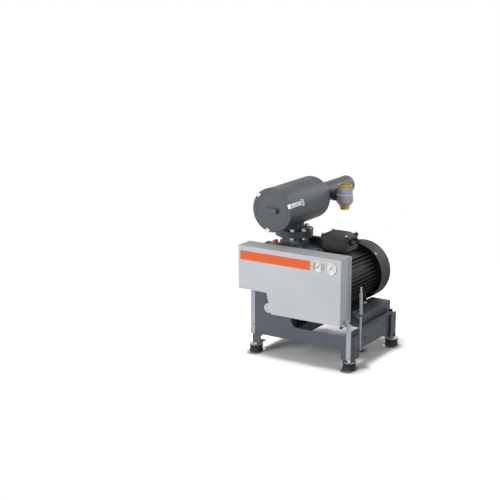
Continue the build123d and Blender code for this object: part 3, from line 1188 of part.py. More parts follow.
BOX_WAIST = 12.0        # height of the box's straight root
BOX_SHOULDER = 44.0     # height where its walls stand upright
BOX_WALL = 10.0
with BuildPart() as terminal_box:
    middle_x, middle_y = sum(BOX_X) / 2, sum(BOX_Y) / 2
    with BuildSketch(Plane.XY.offset(BOX_Z[0])) as root:
        with Locations((MOTOR_X, middle_y)):
            RectangleRounded(BOX_ROOT_W, BOX_Y[1] - BOX_Y[0] - 2 * BOX_ROOT_SET, 12)
    with BuildSketch(Plane.XY.offset(BOX_Z[0] + BOX_SHOULDER)) as rim:
        with Locations((middle_x, middle_y)):
            RectangleRounded(BOX_X[1] - BOX_X[0] - 8, BOX_Y[1] - BOX_Y[0] - 8, 16)
    extrude(root.sketch, amount=BOX_WAIST + 1)
    loft([root.sketch.moved(Location((0, 0, BOX_WAIST))), rim.sketch])
    extrude(rim.sketch, amount=BOX_Z[1] - BOX_Z[0] - BOX_SHOULDER)
    block(
        (BOX_X[0] + BOX_WALL, BOX_X[1] - BOX_WALL), (BOX_Y[0] + BOX_WALL, BOX_Y[1] - BOX_WALL),
        (BOX_Z[0] + BOX_SHOULDER + 6, BOX_Z[1] + 1), Mode.SUBTRACT,
    )
save(terminal_box, "terminal_box")

with BuildPart() as terminal_lid:
    with BuildSketch(Plane.XY.offset(BOX_Z[1])) as lid_base:
        with Locations((middle_x, middle_y)):
            RectangleRounded(BOX_X[1] - BOX_X[0], BOX_Y[1] - BOX_Y[0], 18)
    extrude(lid_base.sketch, amount=8)
    with BuildSketch(Plane.XY.offset(BOX_Z[1] + 8)) as lid_low:
        with Locations((middle_x, middle_y)):
            RectangleRounded(BOX_X[1] - BOX_X[0] - 14, BOX_Y[1] - BOX_Y[0] - 14, 22)
    with BuildSketch(Plane.XY.offset(BOX_Z[1] + LID_T)) as lid_high:
        with Locations((middle_x, middle_y)):
            RectangleRounded(BOX_X[1] - BOX_X[0] - 60, BOX_Y[1] - BOX_Y[0] - 60, 30)
    loft([lid_low.sketch, lid_high.sketch])
save(terminal_lid, "terminal_lid")

GLAND_AT = ((BOX_Y[0] + 52, BOX_Z[0] + 92), (BOX_Y[0] + 104, BOX_Z[0] + 92))
with BuildPart() as cable_glands:
    for y, z in GLAND_AT:
        with BuildSketch(facing_right(BOX_X[1] - 4)) as nut:
            with Locations((y, z)):
                RegularPolygon(17, 6)
        extrude(nut.sketch, amount=14)
        rod_x(y, z, (BOX_X[1] + 10, BOX_X[1] + 26), 13)
        rod_x(y, z, (BOX_X[1] - 5, BOX_X[1] + 27), 8, Mode.SUBTRACT)
save(cable_glands, "cable_glands")

# ================================================================ discharge silencer
DRUM_END_R = 22.0
with BuildPart() as discharge_silencer:
    rod_y(DRUM_X, DRUM_Z, DRUM_Y, DRUM_R)
    fillet(discharge_silencer.edges().filter_by(GeomType.CIRCLE), DRUM_END_R)
    rod_z(BLOWER_X, BLOWER_Y, (DRUM_Z, DISCHARGE_Z), PORT_R + 3)
    rod_z(BLOWER_X, BLOWER_Y, (DISCHARGE_Z - PORT_FLANGE_T, DISCHARGE_Z), DISCHARGE_FLANGE_R)
    rod_y(DRUM_X, DRUM_Z, (DRUM_Y[1] - 1, OUTLET_END - OUTLET_SPIGOT), PIPE_R)
    rod_y(DRUM_X, DRUM_Z, (DRUM_Y[1] - 1, OUTLET_END), SPIGOT_R)
    rod_y(DRUM_X, DRUM_Z, (DRUM_Y[0] + DRUM_END_R, DRUM_Y[1] - DRUM_END_R), DRUM_R - PIPE_WALL, Mode.SUBTRACT)
    rod_y(DRUM_X, DRUM_Z, (DRUM_Y[0] + PIPE_WALL, DRUM_Y[1] - PIPE_WALL), DRUM_R - DRUM_END_R, Mode.SUBTRACT)
    rod_y(DRUM_X, DRUM_Z, (DRUM_Y[1] - DRUM_END_R, OUTLET_END + 1), PIPE_R - PIPE_WALL, Mode.SUBTRACT)
    rod_z(BLOWER_X, BLOWER_Y, (DRUM_Z, DISCHARGE_Z + 1), PORT_R, Mode.SUBTRACT)
save(discharge_silencer, "discharge_silencer")
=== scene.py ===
"""Looks of a belt-driven rotary lobe vacuum blower package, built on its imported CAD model.

Metres throughout, in the model's own frame: X along the belt guard, Y to the rear along
the shafts, Z up from the floor.  Every CAD node gets a procedural finish, and the small
parts that the solids leave out (springs, fasteners, weld beads, dial print, seams) are
modelled here and ride on the bodies that carry them.
"""

from __future__ import annotations

import logging
import math
from collections.abc import Callable, Iterable, Sequence
from dataclasses import dataclass, field
from enum import Enum

import bpy
from mathutils import Matrix, Vector


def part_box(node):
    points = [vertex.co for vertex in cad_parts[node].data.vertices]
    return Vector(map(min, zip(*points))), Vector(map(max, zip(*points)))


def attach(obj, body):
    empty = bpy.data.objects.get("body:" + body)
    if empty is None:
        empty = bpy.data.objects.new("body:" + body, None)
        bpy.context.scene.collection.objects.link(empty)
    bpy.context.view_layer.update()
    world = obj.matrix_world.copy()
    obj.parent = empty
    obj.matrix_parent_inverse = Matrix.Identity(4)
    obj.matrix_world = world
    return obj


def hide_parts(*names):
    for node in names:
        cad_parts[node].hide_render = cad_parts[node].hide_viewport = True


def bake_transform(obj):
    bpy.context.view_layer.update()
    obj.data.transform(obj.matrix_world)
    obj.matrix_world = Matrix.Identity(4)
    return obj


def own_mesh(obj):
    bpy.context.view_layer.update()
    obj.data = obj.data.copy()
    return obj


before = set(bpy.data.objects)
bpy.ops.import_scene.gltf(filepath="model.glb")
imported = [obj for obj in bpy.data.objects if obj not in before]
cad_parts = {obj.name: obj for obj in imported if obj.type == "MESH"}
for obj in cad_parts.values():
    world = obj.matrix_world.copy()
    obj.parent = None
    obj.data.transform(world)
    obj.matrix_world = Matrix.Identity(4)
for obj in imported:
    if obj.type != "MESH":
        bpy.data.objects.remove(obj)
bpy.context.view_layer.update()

log = logging.getLogger("blower_package")

Point = tuple[float, float, float]
Colour = tuple[float, float, float]
FaceTest = Callable[[Vector, Vector], bool]

FRONT: Point = (0.0, -1.0, 0.0)
REAR: Point = (0.0, 1.0, 0.0)
UP: Point = (0.0, 0.0, 1.0)
DOWN: Point = (0.0, 0.0, -1.0)
RIGHT: Point = (1.0, 0.0, 0.0)
LEFT: Point = (-1.0, 0.0, 0.0)


def shade(red: int, green: int, blue: int) -> Colour:
    """Linear colour of an eight-bit screen colour.

    Args:
        red: Red, 0 to 255.
        green: Green, 0 to 255.
        blue: Blue, 0 to 255.

    Returns:
        The three linear channels.
    """

    def linear(level: int) -> float:
        part = level / 255
        return part / 12.92 if part <= 0.04045 else ((part + 0.055) / 1.055) ** 2.4

    return linear(red), linear(green), linear(blue)


# ---------------------------------------------------------------- shader maths
class Value:
    """One output socket, with maths written as Python expressions."""

    def __init__(self, shader: Shader, socket: bpy.types.NodeSocket) -> None:
        """Hold the shader that owns the socket, and the socket."""
        self.shader = shader
        self.socket = socket

    def math(self, operation: str, other: Value | float | None = None, flipped: bool = False) -> Value:
        """Add a Math node on this value.

        Args:
            operation: Name of the Math node's operation.
            other: The second value, where the operation takes one.
            flipped: Whether the other value comes first.

        Returns:
            The node's result.
        """
        pair: list[Value | float] = [self] if other is None else [self, other]
        if flipped:
            pair.reverse()
        return self.shader.node("ShaderNodeMath", {"operation": operation}, dict(enumerate(pair)))

    def __add__(self, other: Value | float) -> Value:
        """Sum."""
        return self.math("ADD", other)

    __radd__ = __add__

    def __sub__(self, other: Value | float) -> Value:
        """Difference."""
        return self.math("SUBTRACT", other)

    def __rsub__(self, other: float) -> Value:
        """Difference with a number first."""
        return self.math("SUBTRACT", other, flipped=True)

    def __mul__(self, other: Value | float) -> Value:
        """Product."""
        return self.math("MULTIPLY", other)

    __rmul__ = __mul__

    def __truediv__(self, other: Value | float) -> Value:
        """Quotient."""
        return self.math("DIVIDE", other)

    def __pow__(self, other: float) -> Value:
        """Power."""
        return self.math("POWER", other)

    def __gt__(self, other: Value | float) -> Value:
        """One where this value is the larger, else zero."""
        return self.math("GREATER_THAN", other)

    def __lt__(self, other: Value | float) -> Value:
        """One where this value is the smaller, else zero."""
        return self.math("LESS_THAN", other)

    def __abs__(self) -> Value:
        """Size without sign."""
        return self.math("ABSOLUTE")

    def between(self, low: float, high: float) -> Value:
        """One inside the two limits, else zero."""
        return (self > low) * (self < high)

    def ramp(self, low: float, high: float) -> Value:
        """Rise smoothly from zero at low to one at high."""
        ends = {0: self, 1: low, 2: high, 3: 0.0, 4: 1.0}
        return self.shader.node("ShaderNodeMapRange", {"interpolation_type": "SMOOTHSTEP"}, ends)


class Shader:
    """Node tree of one material."""

    def __init__(self, name: str) -> None:
        """Start an empty tree that reads Object coordinates."""
        self.material = bpy.data.materials.new(name)
        self.material.use_nodes = True
        self.tree = self.material.node_tree
        self.tree.nodes.clear()
        self.place = self.node("ShaderNodeTexCoord", output="Object")
        self.x, self.y, self.z = (self.part(self.place, axis) for axis in "XYZ")

    def node(
        self,
        kind: str,
        settings: dict[str, object] | None = None,
        inputs: dict[int | str, object] | None = None,
        output: int | str = 0,
    ) -> Value:
        """Add a node.

        Args:
            kind: Type of the node.
            settings: Its own settings, a ramp's stops among them; these are set first.
            inputs: Values or links of its sockets, by name or place.
            output: Which of its outputs is wanted.

        Returns:
            That output.
        """
        made = self.tree.nodes.new(kind)
        for key, setting in (settings or {}).items():
            if key != "stops":
                setattr(made, key, setting)
                continue
            ramp = made.color_ramp
            while len(ramp.elements) < len(setting):
                ramp.elements.new(0.5)
            for element, (place, colour) in zip(ramp.elements, setting):
                element.position = place
                element.color = (*colour, 1.0)
        for key, value in (inputs or {}).items():
            if isinstance(value, Value):
                self.tree.links.new(value.socket, made.inputs[key])
            else:
                made.inputs[key].default_value = value
        return Value(self, made.outputs[output])

    def part(self, vector: Value, axis: str) -> Value:
        """One channel of a vector."""
        return self.node("ShaderNodeSeparateXYZ", inputs={0: vector}, output=axis)

    def squeezed(self, scale: Point) -> Value:
        """Object place with each axis scaled."""
        return self.node("ShaderNodeMapping", inputs={"Vector": self.place, "Scale": scale})

    def noise(self, scale: float, detail: float = 2.0, rough: float = 0.5, at: Value | None = None) -> Value:
        """Cloudy value.

        Args:
            scale: Clouds in a metre.
            detail: Octaves.
            rough: Weight of the finer octaves.
            at: Place to read, the Object place unless given.

        Returns:
            The cloud value, around one half.
        """
        inputs = {"Vector": at or self.place, "Scale": scale, "Detail": detail, "Roughness": rough}
        return self.node("ShaderNodeTexNoise", inputs=inputs)

    def around(self, centre: Sequence[float], axis: str) -> tuple[Value, Value]:
        """Distance from a line along an axis, and the angle around it.

        Args:
            centre: The line's place on the other two axes.
            axis: X, Y or Z.

        Returns:
            Distance in metres, and angle in radians.
        """
        across = {"X": (self.y, self.z), "Y": (self.x, self.z), "Z": (self.x, self.y)}[axis]
        first, second = across[0] - centre[0], across[1] - centre[1]
        return (first * first + second * second) ** 0.5, second.math("ARCTAN2", first)

    def mix(self, share: Value | float, low: Value | Colour, high: Value | Colour) -> Value:
        """Blend two colours.

        Args:
            share: Zero for the first colour, one for the second.
            low: First colour.
            high: Second colour.

        Returns:
            The blend.
        """
        ends = [end if isinstance(end, Value) else (*end, 1.0) for end in (low, high)]
        return self.node("ShaderNodeMix", {"data_type": "RGBA"}, {0: share, 6: ends[0], 7: ends[1]}, 2)

    def bump(self, height: Value, strength: float, depth: float, over: Value | None = None) -> Value:
        """Relief from a height value.

        Args:
            height: Height, zero to one.
            strength: Share of the relief that shows.
            depth: Its depth in metres.
            over: Another relief that this one lies on.

        Returns:
            The bent normal.
        """
        inputs: dict[int | str, object] = {"Height": height, "Strength": strength, "Distance": depth}
        if over is not None:
            inputs["Normal"] = over
        return self.node("ShaderNodeBump", inputs=inputs)

    def surface(self, **sockets: object) -> bpy.types.Material:
        """Close the material with one Principled surface.

        Args:
            **sockets: Values or links by socket name, with _ for a space.

        Returns:
            The finished material.
        """
        inputs = {name.replace("_", " "): value for name, value in sockets.items()}
        if isinstance(inputs.get("Base Color"), tuple):
            inputs["Base Color"] = (*inputs["Base Color"], 1.0)
        shell = self.node("ShaderNodeBsdfPrincipled", inputs=inputs)
        self.node_into_output(shell)
        return self.material

    def node_into_output(self, shell: Value) -> None:
        """Link a shader to the material's output."""
        end = self.tree.nodes.new("ShaderNodeOutputMaterial")
        self.tree.links.new(shell.socket, end.inputs["Surface"])


# ---------------------------------------------------------------- finishes
@dataclass(frozen=True)
class Finish:
    """A finish that makes its material once and is then used wherever it is named."""

    name: str

    def material(self) -> bpy.types.Material:
        """The material, made at its first use."""
        return bpy.data.materials.get(self.name) or self.mix()

    def mix(self) -> bpy.types.Material:
        """Make the material."""
        raise NotImplementedError


@dataclass(frozen=True)
class PowderCoat(Finish):
    """Baked powder paint on sheet steel: orange peel, soft colour drift, dust and rubbed spots."""

    colour: Colour = (0.1, 0.1, 0.1)
    roughness: float = 0.42
    peel: float = 0.12
    dust: float = 0.10
    coat: float = 0.0

    def paint(self, shader: Shader) -> tuple[Value, Value]:
        """Colour and roughness of the coat.

        Args:
            shader: The tree to build in.

        Returns:
            Base colour and roughness.
        """
        drift = shader.noise(3.5, 3.0)
        fine = shader.noise(260.0, 2.0)
        lighter = tuple(min(1.0, channel * 1.14 + 0.004) for channel in self.colour)
        darker = tuple(channel * 0.86 for channel in self.colour)
        base = shader.mix(drift * 0.75 + fine * 0.25, darker, lighter)
        facing = shader.part(shader.node("ShaderNodeNewGeometry", output="Normal"), "Z")
        settled = facing.ramp(0.6, 1.0) * shader.noise(11.0, 4.0, 0.6).ramp(0.35, 0.75)
        dusty = tuple(channel * 0.5 + 0.16 for channel in self.colour)
        base = shader.mix(settled * self.dust, base, dusty)
        rubbed = shader.noise(42.0, 5.0, 0.7, shader.squeezed((1.0, 0.35, 2.4))).ramp(0.69, 0.74)
        base = shader.mix(rubbed * 0.22, base, lighter)
        rough = self.roughness + (drift - 0.5) * 0.16 + settled * 0.2 - rubbed * 0.1
        return base, rough

    def mix(self) -> bpy.types.Material:
        """Make the material."""
        shader = Shader(self.name)
        base, rough = self.paint(shader)
        relief = shader.bump(shader.noise(620.0, 2.0), self.peel, 0.0006)
        return shader.surface(
            Base_Color=base, Roughness=rough, Normal=relief, Coat_Weight=self.coat, Coat_Roughness=0.18
        )


@dataclass(frozen=True)
class GuardCoat(PowderCoat):
    """Guard paint whose right-hand side has a perforated strip near its rear edge, its holes painted
    near-black as painted shade and dented in the relief.
    """

    side_x: float = 0.28
    front_y: float = -0.2530
    rear_y: float = -0.2245
    pitch: float = 0.0115

    def mix(self) -> bpy.types.Material:
        """Make the material."""
        shader = Shader(self.name)
        base, rough = self.paint(shader)
        row = (shader.z / self.pitch).math("FLOOR")
        shift = (row * 0.5).math("FRACT")
        along = (shader.y / self.pitch + shift).math("FRACT") - 0.5
        rise = (shader.z / self.pitch).math("FRACT") - 0.5
        from_middle = (along * along + rise * rise) ** 0.5
        on_side = (shader.x > self.side_x - 0.0006) * shader.y.between(self.front_y, self.rear_y)
        hole = (1.0 - from_middle.ramp(0.29, 0.36)) * on_side
        # Holes painted near-black: painted shade of the guard's inside, not cut through.
        base = shader.mix(hole * 0.82, base, (0.03, 0.033, 0.037))
        orange_peel = shader.bump(shader.noise(620.0, 2.0), self.peel, 0.0006)
        relief = shader.bump(1.0 - hole, 0.55, 0.0008, orange_peel)
        return shader.surface(Base_Color=base, Roughness=rough, Normal=relief)


@dataclass(frozen=True)
class CastEnamel(Finish):
    """Enamel over a sand casting: pebbled skin whose pits carry painted shade and whose pebbles carry
    painted light, and dull grime in random patches.
    """

    colour: Colour = (0.05, 0.05, 0.05)
    roughness: float = 0.5
    grain: float = 210.0
    relief: float = 0.35

    def mix(self) -> bpy.types.Material:
        """Make the material."""
        shader = Shader(self.name)
        sand = shader.noise(self.grain, 4.0, 0.62)
        lumps = shader.noise(24.0, 3.0)
        # Colour follows the relief's own height: darker in the pits and lighter on the pebbles and lumps,
        # painted shade and light.
        high = tuple(min(1.0, channel * 1.35 + 0.006) for channel in self.colour)
        low = tuple(channel * 0.68 for channel in self.colour)
        base = shader.mix(sand.ramp(0.3, 0.75) * 0.7 + lumps * 0.3, low, high)
        grime = shader.noise(9.0, 5.0, 0.65).ramp(0.55, 0.8)
        base = shader.mix(grime * 0.3, base, (0.035, 0.033, 0.028))
        skin = shader.bump(sand, self.relief, 0.0008)
        cast = shader.bump(lumps, 0.25, 0.003, skin)
        rough = self.roughness + grime * 0.2 - sand * 0.1
        return shader.surface(Base_Color=base, Roughness=rough, Normal=cast)


@dataclass(frozen=True)
class Zinc(Finish):
    """Bright zinc plate: faint spangle, milky bloom and fine handling scratches."""

    colour: Colour = (0.66, 0.67, 0.68)
    roughness: float = 0.34
    bloom: float = 0.25

    def mix(self) -> bpy.types.Material:
        """Make the material."""
        shader = Shader(self.name)
        cells = {"Vector": shader.place, "Scale": 420.0}
        spangle = shader.node("ShaderNodeTexVoronoi", inputs=cells, output="Color")
        tone = shader.part(spangle, "X")
        cloud = shader.noise(34.0, 4.0, 0.6)
        dark = tuple(channel * 0.72 for channel in self.colour)
        base = shader.mix(tone * 0.35 + cloud * 0.65, dark, self.colour)
        milky = cloud.ramp(0.55, 0.8) * self.bloom
        base = shader.mix(milky, base, (0.74, 0.74, 0.72))
        scratch = shader.noise(900.0, 2.0, 0.5, shader.squeezed((0.08, 1.0, 1.0)))
        rough = self.roughness + cloud * 0.16 + milky * 0.3
        return shader.surface(
            Base_Color=base, Roughness=rough, Metallic=1.0 - milky * 0.5,
            Normal=shader.bump(scratch, 0.12, 0.0003),
        )


@dataclass(frozen=True)
class TurnedSteel(Finish):
    """Machined steel with fine tool rings around an axis."""

    colour: Colour = (0.42, 0.42, 0.43)
    centre: tuple[float, float] = (0.0, 0.0)
    axis: str = "Y"
    roughness: float = 0.3

    def mix(self) -> bpy.types.Material:
        """Make the material."""
        shader = Shader(self.name)
        out, _ = shader.around(self.centre, self.axis)
        rings = (out * 9000.0).math("SINE") * 0.5 + 0.5
        stain = shader.noise(28.0, 4.0, 0.6)
        oiled = tuple(channel * 0.62 for channel in self.colour)
        base = shader.mix(stain.ramp(0.35, 0.75), self.colour, oiled)
        rough = self.roughness + rings * 0.08 + stain * 0.12
        grooves = shader.bump(rings, 0.12, 0.0002)
        return shader.surface(Base_Color=base, Roughness=rough, Metallic=1.0, Normal=grooves)


@dataclass(frozen=True)
class Threaded(Zinc):
    """Zinc-plated screw thread along Z."""

    pitch: float = 0.00175
    centre: tuple[float, float] = (0.0, 0.0)

    def mix(self) -> bpy.types.Material:
        """Make the material."""
        shader = Shader(self.name)
        _, angle = shader.around(self.centre, "Z")
        climb = (shader.z / self.pitch + angle * (0.5 / math.pi)).math("FRACT")
        ridge = 1.0 - abs(climb - 0.5) * 2.0
        cloud = shader.noise(40.0, 3.0)
        # Thread colour follows its profile, darker in the grooves and lighter on the crests: painted shade
        # and light.
        base = shader.mix(ridge * 0.6 + cloud * 0.4, (0.30, 0.30, 0.31), self.colour)
        return shader.surface(
            Base_Color=base, Roughness=self.roughness + cloud * 0.15, Metallic=1.0 - cloud * 0.1,
            Normal=shader.bump(ridge, 0.8, 0.0009),
        )


@dataclass(frozen=True)
class Rubber(Finish):
    """Moulded black rubber with a grey bloom and rolled-in grit."""

    colour: Colour = (0.006, 0.006, 0.006)

    def mix(self) -> bpy.types.Material:
        """Make the material."""
        shader = Shader(self.name)
        grit = shader.noise(520.0, 3.0, 0.6)
        bloom = shader.noise(19.0, 4.0, 0.6).ramp(0.5, 0.85)
        grey = tuple(channel * 1.7 + 0.003 for channel in self.colour)
        base = shader.mix(bloom * 0.7 + grit * 0.3, self.colour, grey)
        return shader.surface(
            Base_Color=base, Roughness=0.62 + bloom * 0.2, Normal=shader.bump(grit, 0.2, 0.0006)
        )


@dataclass(frozen=True)
class Brass(Finish):
    """Turned brass with a yellow passivation and darker tarnish."""

    centre: tuple[float, float] = (0.0, 0.0)
    colour: Colour = shade(196, 170, 58)

    def mix(self) -> bpy.types.Material:
        """Make the material."""
        shader = Shader(self.name)
        out, _ = shader.around(self.centre, "Z")
        rings = (out * 5200.0 + shader.z * 5200.0).math("SINE") * 0.5 + 0.5
        tarnish = shader.noise(70.0, 4.0, 0.65).ramp(0.4, 0.8)
        base = shader.mix(tarnish * 0.75, self.colour, shade(122, 96, 22))
        rough = 0.32 + tarnish * 0.2
        return shader.surface(
            Base_Color=base, Roughness=rough, Metallic=0.85 - tarnish * 0.2,
            Normal=shader.bump(rings, 0.15, 0.0003),
        )


@dataclass(frozen=True)
class ValveEnamel(Finish):
    """Pale satin enamel, lighter in a band around the raised ring."""

    colour: Colour = shade(198, 194, 208)
    band: tuple[float, float] = (0.842, 0.850)

    def mix(self) -> bpy.types.Material:
        """Make the material."""
        shader = Shader(self.name)
        cloud = shader.noise(48.0, 3.0)
        dark = tuple(channel * 0.84 for channel in self.colour)
        base = shader.mix(cloud, dark, self.colour)
        low, high = self.band
        bright = shader.z.ramp(low, low + 0.002) - shader.z.ramp(high - 0.002, high)
        base = shader.mix(bright * 0.8, base, shade(232, 230, 240))
        return shader.surface(
            Base_Color=base, Roughness=0.3 + cloud * 0.14, Metallic=cloud * 0.25,
            Normal=shader.bump(shader.noise(700.0), 0.08, 0.0004),
        )


@dataclass(frozen=True)
class Pleated(Finish):
    """Folded filter paper around an axis along Y."""

    centre: tuple[float, float] = (0.0, 0.0)
    pleats: int = 90

    def mix(self) -> bpy.types.Material:
        """Make the material."""
        shader = Shader(self.name)
        _, angle = shader.around(self.centre, "Y")
        fold = (angle * float(self.pleats)).math("SINE") * 0.5 + 0.5
        fibre = shader.noise(800.0, 3.0)
        # Darker in the pleat valleys and lighter on the crests: painted shade and light on the folds. The
        # fibre speckle is the paper's own.
        base = shader.mix(fold * 0.7 + fibre * 0.3, (0.42, 0.36, 0.24), (0.80, 0.75, 0.62))
        relief = shader.bump(fold, 0.9, 0.004)
        return shader.surface(Base_Color=base, Roughness=0.85 + fibre * 0.1, Normal=relief)


@dataclass(frozen=True)
class Moulded(Finish):
    """Moulded plastic or printed film with a faint grain."""

    colour: Colour = (0.5, 0.5, 0.5)
    roughness: float = 0.38
    grain: float = 480.0
    drift: float = 0.12

    def mix(self) -> bpy.types.Material:
        """Make the material."""
        shader = Shader(self.name)
        cloud = shader.noise(30.0, 3.0)
        grain = shader.noise(self.grain, 2.0)
        low = tuple(channel * (1 - self.drift) for channel in self.colour)
        base = shader.mix(cloud * 0.6 + grain * 0.4, low, self.colour)
        return shader.surface(
            Base_Color=base, Roughness=self.roughness + cloud * 0.1, Normal=shader.bump(grain, 0.08, 0.0003)
        )


@dataclass(frozen=True)
class GaugeBody(Finish):
    """White dial face inside a brushed bezel, for all gauges on one panel."""

    dials: tuple[tuple[float, float], ...] = ()
    face_r: float = 0.0305
    face_y: float = -0.32

    def mix(self) -> bpy.types.Material:
        """Make the material."""
        shader = Shader(self.name)
        nearest = None
        for dial in self.dials:
            out, _ = shader.around(dial, "Y")
            nearest = out if nearest is None else nearest.math("MINIMUM", out)
        on_face = (nearest < self.face_r) * (shader.y < self.face_y)
        brushed = shader.noise(1300.0, 2.0, 0.5, shader.squeezed((1.0, 1.0, 0.1)))
        bezel = shader.mix(brushed, (0.52, 0.53, 0.55), (0.78, 0.79, 0.80))
        base = shader.mix(on_face, bezel, (0.86, 0.87, 0.86))
        rough = 0.3 + brushed * 0.12 + on_face * 0.15
        return shader.surface(Base_Color=base, Roughness=rough, Metallic=(1.0 - on_face) * 0.75)


@dataclass(frozen=True)
class Lens(Finish):
    """Clear lens with a trace of dust."""

    tint: Colour = (0.93, 0.96, 0.96)
    dull: float = 0.04

    def mix(self) -> bpy.types.Material:
        """Make the material."""
        shader = Shader(self.name)
        haze = shader.noise(60.0, 4.0, 0.6).ramp(0.4, 0.9)
        return shader.surface(
            Base_Color=self.tint, Roughness=0.03 + haze * 0.08, Alpha=0.10 + haze * self.dull,
            Specular_IOR_Level=0.6,
        )


@dataclass(frozen=True)
class Laminated(Finish):
    """Stacked core sheets along Y."""

    def mix(self) -> bpy.types.Material:
        """Make the material."""
        shader = Shader(self.name)
        sheets = (shader.y * 6000.0).math("SINE") * 0.5 + 0.5
        blend = sheets * 0.6 + shader.noise(60.0) * 0.4
        base = shader.mix(blend, (0.10, 0.10, 0.11), (0.30, 0.30, 0.31))
        edges = shader.bump(sheets, 0.3, 0.0004)
        return shader.surface(Base_Color=base, Roughness=0.45, Metallic=0.9, Normal=edges)


FRAME_PAINT = PowderCoat("frame_powder_coat", shade(80, 88, 95), roughness=0.4)
GUARD_PAINT = GuardCoat("guard_powder_coat", shade(196, 199, 204), roughness=0.45, dust=0.25)
# Pale paint of the corner strips: painted highlight of the frame's rounded front corners.
CORNER_HIGHLIGHT_PAINT = PowderCoat("guard_post_coat", shade(170, 176, 184), roughness=0.4)
# Darker copy of the guard's paint on the backplate: painted shade.
GUARD_SHADED = PowderCoat("guard_backplate_shaded_coat", shade(150, 155, 161), roughness=0.5)
DRUM_PAINT = PowderCoat("drum_enamel", shade(71, 78, 85), roughness=0.42, dust=0.10)
BLOWER_CAST = CastEnamel("blower_casting_enamel", shade(62, 70, 73))
PULLEY_CAST = CastEnamel("pulley_casting", shade(52, 54, 56), roughness=0.45, relief=0.2)
MOTOR_PAINT = CastEnamel("motor_casting_paint", shade(10, 10, 11), roughness=0.58, relief=0.22)
BOX_PAINT = CastEnamel("terminal_box_paint", shade(12, 12, 12), roughness=0.56, relief=0.18)
COWL_PAINT = PowderCoat("fan_cowl_coat", shade(19, 19, 20), roughness=0.56, dust=0.02)
FAN_PLASTIC = Moulded("fan_plastic", shade(30, 31, 33), roughness=0.5)
GLAND_PLASTIC = Moulded("gland_plastic", shade(28, 28, 29))
PLATED = Zinc("zinc_plate")
CLIP_STEEL = Zinc("latch_stainless", colour=(0.56, 0.57, 0.59), roughness=0.34, bloom=0.10)
RUBBER = Rubber("moulded_rubber")
BELT = Rubber("belt_fabric", colour=(0.02, 0.02, 0.021))
PAPER_CENTRE = (-0.225, 0.838)
PAPER = Pleated("filter_paper", centre=PAPER_CENTRE)
ORANGE_PLUG = Moulded("plug_orange", shade(214, 104, 40), roughness=0.42)
ORANGE_FILM = Moulded("stripe_orange", shade(235, 98, 12), roughness=0.34, grain=900.0, drift=0.05)
DIAL_GREEN = Moulded("dial_green", shade(30, 132, 62), drift=0.04)
DIAL_YELLOW = Moulded("dial_yellow", shade(236, 214, 70), drift=0.04)
DIAL_RED = Moulded("dial_red", shade(206, 58, 56), drift=0.04)
DIAL_BLACK = Moulded("dial_black", shade(26, 26, 27), drift=0.04)
LENS = Lens("gauge_lens")
CORE = Laminated("core_sheets")


# ---------------------------------------------------------------- metalwork
def frame_along(direction: Sequence[float], at: Sequence[float]) -> Matrix:
    """Place whose local Z runs along a direction.

    Args:
        direction: Where local Z points.
        at: The origin.

    Returns:
        The placing matrix.
    """
    turned = Vector(direction).to_track_quat("Z", "Y").to_matrix().to_4x4()
    return Matrix.Translation(Vector(at)) @ turned


